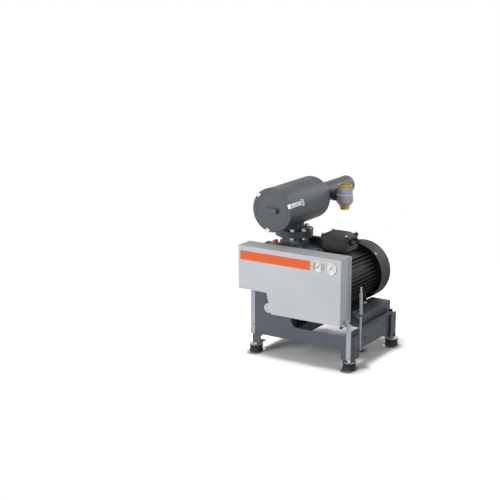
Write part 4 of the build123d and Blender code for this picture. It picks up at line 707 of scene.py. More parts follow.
class Work:
    """A mesh on the bench: started from a primitive, shaped in edit mode, then handed over."""

    def __init__(self, made: bpy.types.Object, name: str) -> None:
        """Take the new object and name it."""
        self.obj = made
        made.name = name
        made.data.name = name

    @staticmethod
    def clear() -> None:
        """Deselect everything."""
        bpy.ops.object.select_all(action="DESELECT")

    @classmethod
    def bar(cls, name: str, radius: float, length: float, sides: int = 32) -> Work:
        """Round or many-sided bar from the origin up local Z.

        Args:
            name: Piece name.
            radius: Radius over its corners.
            length: Length.
            sides: Number of sides.

        Returns:
            The work.
        """
        cls.clear()
        bpy.ops.mesh.primitive_cylinder_add(
            vertices=sides, radius=radius, depth=length, location=(0, 0, length / 2)
        )
        work = cls(bpy.context.object, name)
        work.settle()
        return work

    @classmethod
    def slab(cls, name: str, low: Sequence[float], high: Sequence[float]) -> Work:
        """Block between two corners.

        Args:
            name: Piece name.
            low: Lowest corner.
            high: Highest corner.

        Returns:
            The work.
        """
        cls.clear()
        middle = [(a + b) / 2 for a, b in zip(low, high)]
        bpy.ops.mesh.primitive_cube_add(size=1.0, location=middle, scale=[b - a for a, b in zip(low, high)])
        work = cls(bpy.context.object, name)
        work.settle()
        return work

    @classmethod
    def hoop(cls, name: str, radius: float, thick: float, turns: int = 96, sides: int = 8) -> Work:
        """Ring around local Z.

        Args:
            name: Piece name.
            radius: Radius to the middle of its section.
            thick: Radius of its section.
            turns: Segments around.
            sides: Sides of its section.

        Returns:
            The work.
        """
        cls.clear()
        bpy.ops.mesh.primitive_torus_add(
            major_radius=radius, minor_radius=thick, major_segments=turns, minor_segments=sides
        )
        return cls(bpy.context.object, name)

    @classmethod
    def flat_ring(cls, name: str, outer: float, inner: float) -> Work:
        """Flat ring without thickness around local Z.

        Args:
            name: Piece name.
            outer: Outer radius.
            inner: Inner radius.

        Returns:
            The work.
        """
        cls.clear()
        bpy.ops.mesh.primitive_circle_add(vertices=96, radius=outer, fill_type="NGON")
        work = cls(bpy.context.object, name)
        work.pick(any_face)
        bpy.ops.mesh.inset(thickness=outer - inner)
        bpy.ops.mesh.delete(type="FACE")
        work.leave()
        return work

    @classmethod
    def coil(cls, name: str, radius: float, wire: float, length: float, turns: int) -> Work:
        """Helical spring from the origin up local Z.

        Args:
            name: Piece name.
            radius: Radius to the middle of the wire.
            wire: Radius of the wire.
            length: Height between the middles of its ends.
            turns: Whole turns.

        Returns:
            The work.
        """
        cls.clear()
        bpy.ops.mesh.primitive_circle_add(
            vertices=10, radius=wire, location=(radius, 0, 0), rotation=(math.pi / 2, 0, 0),
            fill_type="NOTHING",
        )
        work = cls(bpy.context.object, name)
        work.settle()
        work.modify(
            "SCREW", angle=math.tau * turns, screw_offset=length, steps=28 * turns, render_steps=28 * turns,
            axis="Z", use_merge_vertices=False,
        )
        work.enter("EDGE")
        bpy.ops.mesh.select_non_manifold()
        bpy.ops.mesh.fill()
        bpy.ops.mesh.select_all(action="SELECT")
        bpy.ops.mesh.normals_make_consistent(inside=False)
        work.leave()
        return work

    def settle(self) -> None:
        """Write the object's place, turn and size into its mesh."""
        self.clear()
        self.obj.select_set(True)
        bpy.context.view_layer.objects.active = self.obj
        bpy.ops.object.transform_apply(location=True, rotation=True, scale=True)

    def enter(self, mode: str = "FACE") -> None:
        """Go to edit mode with nothing selected."""
        self.clear()
        self.obj.select_set(True)
        bpy.context.view_layer.objects.active = self.obj
        bpy.ops.object.mode_set(mode="EDIT")
        bpy.ops.mesh.select_mode(type=mode)
        bpy.ops.mesh.select_all(action="DESELECT")

    @staticmethod
    def leave() -> None:
        """Go back to object mode."""
        bpy.ops.object.mode_set(mode="OBJECT")

    def pick(self, test: FaceTest) -> None:
        """Enter edit mode with the faces selected whose middle and normal pass a test."""
        self.enter()
        self.leave()
        for face in self.obj.data.polygons:
            face.select = test(face.center, face.normal)
        bpy.ops.object.mode_set(mode="EDIT")

    def inset(self, test: FaceTest, width: float, lift: float = 0.0, depth: float = 0.0) -> None:
        """Inset the picked faces, then push them along their normal.

        Args:
            test: Picks the faces.
            width: Inset width.
            lift: Depth of the inset itself, for a sloping rim.
            depth: Straight extrusion after it.
        """
        self.pick(test)
        bpy.ops.mesh.inset(thickness=width, depth=lift)
        if depth:
            bpy.ops.mesh.extrude_region_shrink_fatten(TRANSFORM_OT_shrink_fatten={"value": depth})
        self.leave()

    def round_edges(self, width: float, steps: int = 2, angle: float = 50.0) -> None:
        """Bevel the sharp edges.

        Args:
            width: Bevel width.
            steps: Segments.
            angle: Edges sharper than this, in degrees.
        """
        limit = math.radians(angle)
        self.modify("BEVEL", width=width, segments=steps, limit_method="ANGLE", angle_limit=limit)

    def modify(self, kind: str, **settings: object) -> None:
        """Add a modifier with its settings and apply it."""
        self.clear()
        self.obj.select_set(True)
        bpy.context.view_layer.objects.active = self.obj
        made = self.obj.modifiers.new(kind.lower(), kind)
        for key, value in settings.items():
            setattr(made, key, value)
        bpy.ops.object.modifier_apply(modifier=made.name)

    def ripple(self, size: float, depth: float) -> None:
        """Uneven the surface, as a weld bead is.

        Args:
            size: Size of the ripples.
            depth: Their height.
        """
        cloud = bpy.data.textures.get("bead_ripple") or bpy.data.textures.new("bead_ripple", "CLOUDS")
        cloud.noise_scale = size
        self.modify("DISPLACE", texture=cloud, strength=depth, mid_level=0.5, texture_coords="LOCAL")

    def place(self, matrix: Matrix) -> Work:
        """Move the mesh itself by a matrix."""
        self.obj.matrix_world = matrix
        bpy.context.view_layer.update()
        self.settle()
        return self

    def repeat(self, matrices: Iterable[Matrix]) -> Work:
        """Put a copy at each place and join them into one piece.

        Args:
            matrices: Where the copies go.

        Returns:
            The joined work, under the first name.
        """
        name = self.obj.name
        copies: list[bpy.types.Object] = []
        for matrix in matrices:
            self.clear()
            self.obj.select_set(True)
            bpy.context.view_layer.objects.active = self.obj
            bpy.ops.object.duplicate(linked=False)
            copy = Work(bpy.context.object, f"{name}_copy")
            copy.place(matrix)
            copies.append(copy.obj)
        bpy.data.objects.remove(self.obj)
        self.clear()
        for copy_obj in copies:
            copy_obj.select_set(True)
        bpy.context.view_layer.objects.active = copies[0]
        if len(copies) > 1:
            bpy.ops.object.join()
        return Work(copies[0], name)

    def hand_over(self, finish: Finish, body: str, slot: str, smooth: float = 40.0) -> bpy.types.Object:
        """Smooth, dress and mount the finished piece.

        Args:
            finish: Its finish.
            body: The CAD body that carries it.
            slot: Material slot of the record that it is closest to; not used.
            smooth: Edges flatter than this shade smooth, in degrees.

        Returns:
            The finished object.
        """
        self.clear()
        self.obj.select_set(True)
        bpy.context.view_layer.objects.active = self.obj
        bpy.ops.object.shade_smooth_by_angle(angle=math.radians(smooth))
        self.obj.data.materials.clear()
        self.obj.data.materials.append(finish.material())
        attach(self.obj, body)
        log.info("%s: %d faces on %s", self.obj.name, len(self.obj.data.polygons), body)
        return self.obj


def level_top(middle: Vector, normal: Vector) -> bool:
    """Whether a face looks up."""
    return normal.z > 0.9


def front_side(middle: Vector, normal: Vector) -> bool:
    """Whether a face looks to the front."""
    return normal.y < -0.9


def any_face(middle: Vector, normal: Vector) -> bool:
    """Pick every face."""
    return True


class Head(Enum):
    """Kinds of screw head."""

    HEX = "hex"
    PAN = "pan"
    CAP = "cap"
    RIVET = "rivet"


@dataclass(frozen=True)
class Screw:
    """One size of screw, seen from outside: washer, head and drive."""

    head: Head
    radius: float
    height: float
    washer: float = 0.0

    def model(self, name: str) -> Work:
        """Model the head standing on the origin, up local Z.

        Args:
            name: Piece name.

        Returns:
            The work.
        """
        washer_t = self.radius * 0.22 if self.washer else 0.0
        sides = {Head.HEX: 6, Head.PAN: 20, Head.CAP: 24, Head.RIVET: 16}[self.head]
        work = Work.bar(name, self.radius, self.height, sides)

        def above(share: float) -> FaceTest:
            """Test for the level faces above a share of the head's height."""
            return lambda middle, normal: normal.z > 0.9 and middle.z > self.height * share

        if self.head is Head.HEX:
            work.inset(above(0.98), self.radius * 0.16, self.radius * 0.09)
        elif self.head is Head.PAN:
            work.inset(above(0.98), self.radius * 0.18, self.height * 0.35)
            work.inset(above(1.2), self.radius * 0.34, self.height * 0.15)
            work.inset(above(1.4), self.radius * 0.05, 0.0, -self.height * 0.5)
        elif self.head is Head.CAP:
            work.inset(above(0.98), self.radius * 0.1, self.radius * 0.06)
            work.inset(above(1.0), self.radius * 0.36, 0.0, -self.height * 0.55)
        else:
            work.inset(above(0.98), self.radius * 0.3, self.height * 0.45)
        if washer_t:
            ring = Work.bar(f"{name}_washer", self.washer, washer_t, 28)
            ring.round_edges(washer_t * 0.3, 1)
            work.place(Matrix.Translation((0, 0, washer_t)))
            Work.clear()
            ring.obj.select_set(True)
            work.obj.select_set(True)
            bpy.context.view_layer.objects.active = work.obj
            bpy.ops.object.join()
        return work

    def row(self, name: str, seats: Sequence[Sequence[float]], out: Sequence[float]) -> Work:
        """Model the screw and set one at each seat.

        Args:
            name: Piece name.
            seats: Where the heads stand.
            out: Which way they point.

        Returns:
            The joined work.
        """
        return self.model(name).repeat(frame_along(out, seat) for seat in seats)


M6_CAP = Screw(Head.CAP, 0.0050, 0.0058)
M8_HEX = Screw(Head.HEX, 0.0075, 0.0055, 0.0085)
M12_HEX = Screw(Head.HEX, 0.0108, 0.0078, 0.0125)
M5_PAN = Screw(Head.PAN, 0.0045, 0.0022)
M6_PAN = Screw(Head.PAN, 0.0062, 0.0030, 0.0080)


def dress(finish: Finish, *nodes: str) -> None:
    """Give CAD nodes a finish.

    Args:
        finish: The finish.
        *nodes: Node names.
    """
    for name in nodes:
        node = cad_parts[name]
        if not node.material_slots:
            node.data.materials.append(finish.material())
        for held in node.material_slots:
            held.material = finish.material()
        log.info("%s: %s", name, finish.name)


def ring_seats(
    centre: Sequence[float], radius: float, count: int, axis: str, start: float = 0.0
) -> list[Vector]:
    """Places evenly spaced on a circle.

    Args:
        centre: Middle of the circle.
        radius: Its radius.
        count: How many.
        axis: The circle's axis, Y or Z.
        start: Angle of the first, in degrees.

    Returns:
        The places.
    """
    seats = []
    for step in range(count):
        angle = math.radians(start + step * 360 / count)
        across, along = radius * math.cos(angle), radius * math.sin(angle)
        offset = (across, 0.0, along) if axis == "Y" else (across, along, 0.0)
        seats.append(Vector(centre) + Vector(offset))
    return seats


# ---------------------------------------------------------------- sub-assemblies
@dataclass
class BaseFrame:
    """Folded-sheet frame, its machine feet, and the pieces bolted to it."""

    body: str = "base_unit"
    feet_x: float = 0.305
    feet_y: float = 0.259
    rod_at: tuple[float, float] = (0.328, -0.180)
    spring_r: float = 0.0084
    wire_r: float = 0.0015
    bench_bolt_set: float = 0.017
    rib_r: float = 0.0343
    weld_r: float = 0.0022
    beam_x: float = 0.318
    bracket_bolt_y: tuple[float, ...] = (-0.150, -0.105)
    bracket_bolt_z: float = 0.150
    blower_foot_t: float = 0.016
    bench_bolt_x: float = 0.050
    rib_rise: tuple[float, ...] = (0.42, 0.52, 0.62)
    weld_set: tuple[float, float] = (0.0145, 0.088)
    weld_z: tuple[float, float] = (0.101, 0.199)

    def build(self) -> None:
        """Dress the frame and add its small parts."""
        dress(FRAME_PAINT, "frame_front_panel", "frame_rear_panel", "frame_side_beams")
        dress(FRAME_PAINT, "blower_bench", "pivot_beam")
        dress(PLATED, "foot_plates", "foot_studs", "rocker_pivot_pin")
        dress(RUBBER, "foot_rubbers")
        dress(Threaded("rod_thread", centre=self.rod_at), "tension_rod")
        self.spring()
        self.bench_bolts()
        self.foot_rims()
        self.beam_welds()
        self.beam_bolts()

    def spring(self) -> None:
        """Tension spring on the rod, in place of its solid sleeve."""
        low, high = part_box("tension_spring")
        length = high.z - low.z - 2 * self.wire_r
        coil = Work.coil("tension_spring_coil", self.spring_r, self.wire_r, length, 15)
        coil.place(Matrix.Translation((*self.rod_at, low.z + self.wire_r)))
        piece = coil.hand_over(PLATED, self.body, "zinc")
        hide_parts("tension_spring")
        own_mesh(piece)

    def bench_bolts(self) -> None:
        """Bolts through the blower's feet."""
        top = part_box("blower_bench")[1].z + self.blower_foot_t
        low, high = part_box("drive_end_plate")
        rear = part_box("gear_end_plate")[1].y - self.bench_bolt_set
        middle, front = (low.x + high.x) / 2, low.y + self.bench_bolt_set
        seats = [(middle + side * self.bench_bolt_x, y, top) for side in (-1, 1) for y in (front, rear)]
        M12_HEX.row("bench_bolts", seats, UP).hand_over(PLATED, self.body, "zinc")

    def foot_rims(self) -> None:
        """Moulded ribs around the rubber mounts."""
        low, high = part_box("foot_rubbers")
        rise = high.z - low.z
        rib = Work.hoop("foot_ribs", self.rib_r, 0.0016, 48)
        places = [
            Matrix.Translation((x, y, low.z + rise * share))
            for x in (-self.feet_x, self.feet_x) for y in (-self.feet_y, self.feet_y)
            for share in self.rib_rise
        ]
        rib.repeat(places).hand_over(RUBBER, self.body, "black_rubber")

    def beam_welds(self) -> None:
        """Fillet weld where each side beam meets the panels' returns."""
        low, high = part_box("frame_side_beams")
        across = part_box("frame_front_panel")[1].x - self.weld_set[0]
        beads = [
            Matrix.Translation((side * across, y, self.weld_z[0]))
            for side in (-1, 1) for y in (low.y + self.weld_set[1], high.y - self.weld_set[1])
        ]
        bead = Work.bar("beam_welds", self.weld_r, self.weld_z[1] - self.weld_z[0], 10)
        bead.pick(any_face)
        bpy.ops.mesh.subdivide(number_cuts=6)
        bead.leave()
        bead.ripple(0.004, 0.0007)
        bead.repeat(beads).hand_over(FRAME_PAINT, self.body, "frame_paint")

    def beam_bolts(self) -> None:
        """Bolts that hold the rod's bracket to the right side beam."""
        seats = [(self.beam_x, y, self.bracket_bolt_z) for y in self.bracket_bolt_y]
        M8_HEX.row("bracket_bolts", seats, RIGHT).hand_over(FRAME_PAINT, self.body, "frame_paint")


@dataclass
class Blower:
    """Rotary lobe blower with its shafts, gears and covers."""

    body: str = "base_unit"
    drive_axis: tuple[float, float] = (-0.275, 0.511)
    driven_axis: tuple[float, float] = (-0.175, 0.511)
    motor_axis: tuple[float, float] = (0.070, 0.420)
    belt_r: tuple[float, float] = (0.080, 0.141)
    cover_ring: float = 0.056
    cover_screw_set: tuple[float, float] = (0.008, 0.014)
    plate_margin: float = 0.012
    plate_bolt_z: tuple[float, ...] = (0.430, 0.480, 0.545, 0.592)
    plate_bolt_x: tuple[float, ...] = (-0.262, -0.225, -0.188)
    sight_set: float = 0.003
    sight_z: tuple[float, float] = (0.481, 0.475)
    drain_z: float = 0.478
    cap_at: tuple[float, float, float] = (-0.253, -0.0285, -0.0112)
    rib_y: tuple[float, float] = (-0.082, 0.130)
    rib_rise: float = 0.0792
    bush_ring: float = 0.029
    bush_set: float = 0.0265

    def build(self) -> None:
        """Dress the blower and add its small parts."""
        dress(BLOWER_CAST, "blower_casing", "drive_end_plate", "gear_end_plate")
        dress(BLOWER_CAST, "drive_end_cover", "gear_cover")
        dress(ORANGE_PLUG, "oil_plugs")
        dress(LENS, "sight_glasses")
        dress(RUBBER, "shaft_seal")
        for name, axis in (("drive", self.drive_axis), ("driven", self.driven_axis)):
            steel = TurnedSteel(f"{name}_shaft_steel", centre=axis)
            dress(steel, f"{name}_rotor", f"{name}_timing_gear")
        bearing = TurnedSteel("bearing_steel", colour=(0.5, 0.5, 0.52), centre=self.drive_axis)
        dress(bearing, "blower_bearings")
        dress(PULLEY_CAST, "blower_pulley")
        self.plate_bolts()
        self.cover_bolts()
        self.sight_rims()
        self.drain_plugs()
        self.casting_ribs()
        self.bush_screws()
        self.plug_caps()
        self.belts()

    def belts(self) -> None:
        """Belts copied from their CAD node, with doubled vertices merged and the node hidden."""
        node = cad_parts["drive_belts"]
        belts = Work(bpy.data.objects.new("drive_belts_fitted", node.data.copy()), "drive_belts_fitted")
        bpy.context.scene.collection.objects.link(belts.obj)
        belts.obj.data.transform(node.matrix_world)
        belts.enter("VERT")
        bpy.ops.mesh.select_all(action="SELECT")
        bpy.ops.mesh.remove_doubles(threshold=1e-6)
        belts.leave()
        belts.obj.data.materials.clear()
        belts.obj.data.materials.append(BELT.material())
        bpy.ops.object.shade_smooth_by_angle(angle=math.radians(30))
        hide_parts("drive_belts")
        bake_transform(belts.obj)
        log.info("%s: blended to the rocker", belts.obj.name)

    def plate_bolts(self) -> None:
        """Bolts around the two end plates."""
        faces = {"drive_end_plate": (FRONT, "drive_end_cover", 1), "gear_end_plate": (REAR, "gear_cover", 0)}
        for name, (out, cover, side) in faces.items():
            low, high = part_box(name)
            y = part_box(cover)[side].y
            left, right = low.x + self.plate_margin, high.x - self.plate_margin
            seats = [(x, y, z) for x in (left, right) for z in self.plate_bolt_z]
            if out is REAR:
                seats += [(x, y, high.z - self.plate_margin) for x in self.plate_bolt_x]
            M8_HEX.row(f"{name}_bolts", seats, out).hand_over(PLATED, self.body, "zinc")

    def cover_bolts(self) -> None:
        """Cap screws around the rims of the drive-end cover and the gear cover."""
        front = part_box("drive_end_cover")[0].y + self.cover_screw_set[0]
        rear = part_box("gear_cover")[1].y - self.cover_screw_set[1]
        for name, y, out in (("drive_cover_screws", front, FRONT), ("gear_cover_screws", rear, REAR)):
            seats = []
            for step in range(-2, 3):
                angle = math.radians(step * 36)
                across, rise = self.cover_ring * math.cos(angle), self.cover_ring * math.sin(angle)
                seats.append((self.driven_axis[0] + across, y, self.driven_axis[1] + rise))
                seats.append((self.drive_axis[0] - across, y, self.drive_axis[1] + rise))
            M6_CAP.row(name, seats, out).hand_over(PLATED, self.body, "zinc")

    def sight_rims(self) -> None:
        """Brass rims around the oil sight glasses."""
        low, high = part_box("sight_glasses")
        ring = Work.hoop("sight_glass_rims", 0.0125, 0.0018, 36)
        seats = [
            (self.driven_axis[0], y, z)
            for y, z in zip((low.y + self.sight_set, high.y - self.sight_set), self.sight_z)
        ]
        brass = Brass("sight_brass", centre=self.driven_axis)
        ring.repeat(frame_along(FRONT, seat) for seat in seats).hand_over(brass, self.body, "brass")

    def drain_plugs(self) -> None:
        """Drain plug low on the gear cover."""
        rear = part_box("gear_cover")[1].y - 0.004
        plug = Screw(Head.HEX, 0.0095, 0.010, 0.0125)
        seats = [(self.drive_axis[0], rear, self.drain_z)]
        plug.row("drain_plugs", seats, REAR).hand_over(PLATED, self.body, "zinc")

    def plug_caps(self) -> None:
        """Domed grip cap on the front oil filler plug."""
        _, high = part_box("oil_plugs")
        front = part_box("drive_end_plate")
        cap = Work.bar("oil_plug_cap", 0.0135, 0.007, 24)
        cap.inset(level_top, 0.003, 0.0026)
        cap.inset(level_top, 0.004, 0.0012)
        x, forward, down = self.cap_at
        seat = (x, (front[0].y + front[1].y) / 2 + forward, high.z + down)
        cap.place(Matrix.Translation(seat))
        cap.hand_over(ORANGE_PLUG, self.body, "orange_plastic")

    def casting_ribs(self) -> None:
        """Ribs cast across the top of the rotor casing."""
        rib = Work.slab("casing_ribs", (-0.062, -0.0025, 0.0), (0.062, 0.0025, 0.006))
        rib.round_edges(0.0012)
        top = self.drive_axis[1] + self.rib_rise
        middle = (self.drive_axis[0] + self.driven_axis[0]) / 2
        places = [Matrix.Translation((middle, y, top)) for y in self.rib_y]
        rib.repeat(places).hand_over(BLOWER_CAST, self.body, "cast_paint")

    def bush_screws(self) -> None:
        """Taper bush screws in the blower pulley."""
        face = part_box("blower_pulley")[0].y + self.bush_set
        middle = (self.drive_axis[0], face, self.drive_axis[1])
        seats = ring_seats(middle, self.bush_ring, 3, "Y", 30)
        M6_CAP.row("blower_bush_screws", seats, FRONT).hand_over(PLATED, "drive_shaft", "zinc")


@dataclass
class IntakeSide:
    """Filter drum, its cover and latches, the neck below and the suction pipe behind."""

    body: str = "base_unit"
    drum: tuple[float, float] = (-0.225, 0.838)
    neck: tuple[float, float] = (-0.225, 0.025)
    drum_r: float = 0.125
    pipe_r: float = 0.05715
    neck_weld_r: float = 0.06595
    neck_weld_z: float = 0.6885
    latches: tuple[tuple[str, float], ...] = (("right", 17.0), ("left", 137.0), ("bottom", 257.0))
    lever_y: tuple[float, float] = (-0.216, -0.150)
    lever_w: float = 0.017
    lever_t: float = 0.0025
    lever_rise: float = 0.0058
    rivet_y: float = -0.128
    bead_set: tuple[float, float] = (0.024, 0.0206)

    def build(self) -> None:
        """Dress the intake side and add its small parts."""
        dress(DRUM_PAINT, "filter_shell", "filter_cover", "suction_pipe", "valve_stub")
        dress(BLOWER_CAST, "intake_neck")
        dress(PLATED, "flange_bolts", "latch_bases")
        dress(CLIP_STEEL, "latch_clip_right", "latch_clip_left", "latch_clip_bottom")
        dress(PAPER, "filter_element")
        self.welds()
        self.latch_levers()
        self.cover_bead()
        self.gasket()

    def welds(self) -> None:
        """Weld beads of the pipe and of the neck's flange."""
        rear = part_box("filter_shell")[1].y
        ring = Work.hoop("pipe_weld", self.pipe_r + 0.001, 0.0032, 120)
        ring.ripple(0.006, 0.0012)
        ring.place(frame_along(REAR, (self.drum[0], rear + 0.0012, self.drum[1])))
        ring.hand_over(DRUM_PAINT, self.body, "drum_paint")
        collar = Work.hoop("neck_weld", self.neck_weld_r, 0.0026, 120)
        collar.ripple(0.006, 0.001)
        collar.place(Matrix.Translation((*self.neck, self.neck_weld_z)))
        collar.hand_over(BLOWER_CAST, self.body, "cast_paint")

    def latch_levers(self) -> None:
        """Raised lever and rivets on each latch clip."""
        for name, angle in self.latches:
            out = Vector((math.cos(math.radians(angle)), 0.0, math.sin(math.radians(angle))))
            side = Vector((-out.z, 0.0, out.x))
            turned = Matrix((
                (side.x, 0.0, out.x, self.drum[0]),
                (0.0, 1.0, 0.0, 0.0),
                (side.z, 0.0, out.z, self.drum[1]),
                (0.0, 0.0, 0.0, 1.0),
            ))
            rise = self.drum_r + self.lever_rise
            lever = Work.slab(
                f"latch_lever_{name}", (-self.lever_w / 2, self.lever_y[0], rise),
                (self.lever_w / 2, self.lever_y[1], rise + self.lever_t),
            )
            lever.inset(level_top, 0.0032, 0.0, -0.0011)
            lever.pick(front_side)
            bpy.ops.mesh.extrude_region_move(TRANSFORM_OT_translate={"value": (0.0, -0.007, 0.0024)})
            lever.leave()
            lever.round_edges(0.0006, 2, 35)
            lever.place(turned)
            lever.hand_over(CLIP_STEEL, f"latch_{name}", "zinc")
            pins = Screw(Head.RIVET, 0.0030, 0.0013)
            seats = [turned @ Vector((across, self.rivet_y, rise - 0.0006)) for across in (-0.0075, 0.0075)]
            pins.row(f"latch_rivets_{name}", seats, out).hand_over(CLIP_STEEL, f"latch_{name}", "zinc")

    def cover_bead(self) -> None:
        """Pressed stiffening bead on the cover's face."""
        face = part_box("filter_cover")[0].y + self.bead_set[1]
        bead = Work.hoop("cover_bead", self.drum_r - self.bead_set[0], 0.0022, 120, 10)
        bead.place(frame_along(REAR, (self.drum[0], face, self.drum[1])))
        bead.hand_over(DRUM_PAINT, self.body, "drum_paint")

    def gasket(self) -> None:
        """Rubber seal that shows behind the cover's rim."""
        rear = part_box("filter_cover")[1].y
        seal = Work.hoop("cover_gasket", self.drum_r + 0.0008, 0.0012, 120, 8)
        seal.place(frame_along(REAR, (self.drum[0], rear + 0.001, self.drum[1])))
        seal.hand_over(RUBBER, self.body, "black_rubber")


@dataclass
class ReliefValve:
    """Spring-loaded relief valve on its stub."""

    body: str = "base_unit"
    at: tuple[float, float] = (-0.075, 0.356)
    coil_r: float = 0.0118
    wire_r: float = 0.0013
    knurl_r: float = 0.0424
    knurl_set: float = 0.0105
    band_r: float = 0.0490
    band_z: float = 0.8455

    def build(self) -> None:
        """Dress the valve and add its small parts."""
        dress(ValveEnamel("valve_enamel"), "valve_body")
        brass = Brass("valve_brass", centre=self.at)
        dress(brass, "valve_brass_ends", "valve_poppet")
        low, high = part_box("valve_spring")
        length = high.z - low.z - 2 * self.wire_r
        coil = Work.coil("relief_spring_coil", self.coil_r, self.wire_r, length, 11)
        coil.place(Matrix.Translation((*self.at, low.z + self.wire_r)))
        piece = coil.hand_over(PLATED, self.body, "zinc")
        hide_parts("valve_spring")
        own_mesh(piece)
        self.adjuster(brass)
        self.clamp_ring()

    def adjuster(self, brass: Brass) -> None:
        """Knurled adjusting ring around the brass head.

        Args:
            brass: The valve's brass.
        """
        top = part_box("valve_brass_ends")[1].z
        ring = Work.bar("adjuster_knurl", 0.0012, 0.0090, 6)
        seats = ring_seats((*self.at, top - self.knurl_set), self.knurl_r, 48, "Z")
        ring.repeat(Matrix.Translation(seat) for seat in seats).hand_over(brass, self.body, "brass")

    def clamp_ring(self) -> None:
        """Raised band around the valve's body."""
        band = Work.hoop("valve_band", self.band_r, 0.0014, 96, 10)
        band.place(Matrix.Translation((*self.at, self.band_z)))
        band.hand_over(ValveEnamel("valve_enamel"), self.body, "valve_grey")


@dataclass
class BeltGuard:
    """Belt guard with its stripe, screws and two gauges."""

    body: str = "base_unit"
    dials: tuple[tuple[float, float], ...] = ((0.138, 0.586), (0.219, 0.585))
    stripe_x: tuple[float, float] = (-0.371, 0.086)
    stripe_z: tuple[float, float] = (0.557, 0.610)
    film: float = 0.00035
    print_t: float = 0.0002
    arc_r: tuple[float, float] = (0.0205, 0.0285)
    left_bottom: float = 0.384
    post_x: float = 0.3115
    post_w: float = 0.029
    post_t: float = 0.0040
    post_foot: tuple[float, float] = (0.115, 0.062)
    post_lap: float = 0.012
    buffer_r: float = 0.0062
    buffer_y: tuple[float, float] = (-0.3265, -0.272)
    bolt_y: float = -0.322
    bolt_length: float = 0.052
    face: float = -0.329
    tick_r: tuple[float, float] = (0.0262, 0.0292)
    tick_w: float = 0.00036
    number_r: float = 0.0182
    number_size: float = 0.0052
    screw_inset: float = 0.012
    left_screw_z: float = 0.398
    stud_y: float = -0.300
    stud_x: tuple[float, float] = (0.262, 0.013)
    dial_y: float = field(init=False, default=0.0)

    def build(self) -> None:
        """Dress the guard and add its small parts."""
        self.dial_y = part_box("pressure_pointer")[1].y + 0.0008
        dress(GUARD_PAINT, "guard_cover")
        dress(GUARD_SHADED, "guard_backplate")
        dress(GaugeBody("gauge_body", dials=self.dials, face_y=self.dial_y + 0.002), "gauge_cases")
        dress(LENS, "gauge_lenses")
        dress(DIAL_BLACK, "pressure_pointer", "vacuum_pointer")
        self.stripe()
        self.screws()
        self.posts()
        self.buffer_bolt()
        self.pressure_arcs()
        for index, dial in enumerate(self.dials):
            self.scale(index, dial)

    def stripe(self) -> None:
        """Plain orange film across the upper front."""
        film = Work.slab(
            "guard_stripe", (self.stripe_x[0], self.face - self.film, self.stripe_z[0]),
            (self.stripe_x[1], self.face + 0.0001, self.stripe_z[1]),
        )
        film.round_edges(0.00012, 1)
        film.hand_over(ORANGE_FILM, self.body, "orange_plastic")

    def screws(self) -> None:
        """Pan-head screws at the guard's corners and two studs in its lower edge."""
        low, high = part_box("guard_cover")
        left, right, top = low.x + self.screw_inset, high.x - self.screw_inset, high.z - self.screw_inset
        corners = [(left, top), (right, top), (left, self.left_screw_z), (right, low.z + 0.014)]
        seats = [(x, self.face, z) for x, z in corners]
        M5_PAN.row("guard_screws", seats, FRONT).hand_over(PLATED, self.body, "zinc")
        studs = Screw(Head.CAP, 0.0078, 0.007, 0.0105)
        seats = [(x, self.stud_y, low.z) for x in self.stud_x]
        studs.row("guard_studs", seats, DOWN).hand_over(PLATED, self.body, "zinc")

    def posts(self) -> None:
        """Pale strips down the frame's front corners, a painted highlight of the corners' rounded bends,
        each with two screws, and a tab from the guard's right end to the right strip.
        """
        low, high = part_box("guard_cover")
        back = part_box("frame_front_panel")[0].y
        spans = {"left": (-1, self.left_bottom), "right": (1, low.z + self.post_lap)}
        for foot, (name, (side, top)) in zip(self.post_foot, spans.items()):
            post = Work.slab(
                f"guard_post_{name}",
                (side * self.post_x - self.post_w / 2, back - self.post_t, foot),
                (side * self.post_x + self.post_w / 2, back, top - 0.0004),
            )
            post.inset(front_side, self.post_w * 0.24, 0.0, -self.post_t * 0.3)
            post.round_edges(self.post_t * 0.35, 3)
            post.hand_over(CORNER_HIGHLIGHT_PAINT, self.body, "guard_paint")
            seats = [(side * self.post_x, back - self.post_t * 0.7, foot + rise) for rise in (0.016, 0.060)]
            M6_CAP.row(f"post_screws_{name}", seats, FRONT).hand_over(PLATED, self.body, "zinc")
        tab = Work.slab(
            "highlight_strip_tab", (high.x + 0.0003, back - self.post_t, low.z + 0.004),
            (self.post_x, back - self.post_t * 0.4, low.z + 0.026),
        )
        tab.round_edges(0.0006)
        tab.hand_over(CORNER_HIGHLIGHT_PAINT, self.body, "guard_paint")

    def buffer_bolt(self) -> None:
        """Bolt between two rubber buffers under the guard's lower corner."""
        low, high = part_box("guard_cover")
        x, z = high.x + 0.003, low.z - self.buffer_r
        bolt = Work.bar("buffer_bolt", self.buffer_r * 0.72, self.bolt_length, 20)
        bolt.inset(level_top, 0.001, 0.0008)
        bolt.place(frame_along(REAR, (x, self.bolt_y, z)))
        bolt.hand_over(CLIP_STEEL, self.body, "zinc")
        disc = Work.bar("rubber_buffers", self.buffer_r + 0.0006, 0.010, 24)
        disc.inset(lambda middle, normal: abs(normal.z) > 0.9, 0.0016, 0.0010)
        disc.repeat(frame_along(REAR, (x, y, z)) for y in self.buffer_y).hand_over(
            RUBBER, self.body, "black_rubber"
        )

    def on_dial(self, dial: tuple[float, float]) -> Matrix:
        """Place whose local Z comes out of a dial at its middle."""
        middle = Matrix.Translation((dial[0], self.dial_y, dial[1]))
        return middle @ Matrix.Rotation(math.pi / 2, 4, "X")

    def arc(self, name: str, dial: tuple[float, float], start: float, end: float, finish: Finish) -> None:
        """One coloured arc printed on a dial.

        Args:
            name: Piece name.
            dial: The dial's middle, across and up.
            start: First angle, in degrees from the right, anticlockwise seen from the front.
            end: Last angle.
            finish: Its colour.
        """
        ring = Work.flat_ring(name, self.arc_r[1], self.arc_r[0])

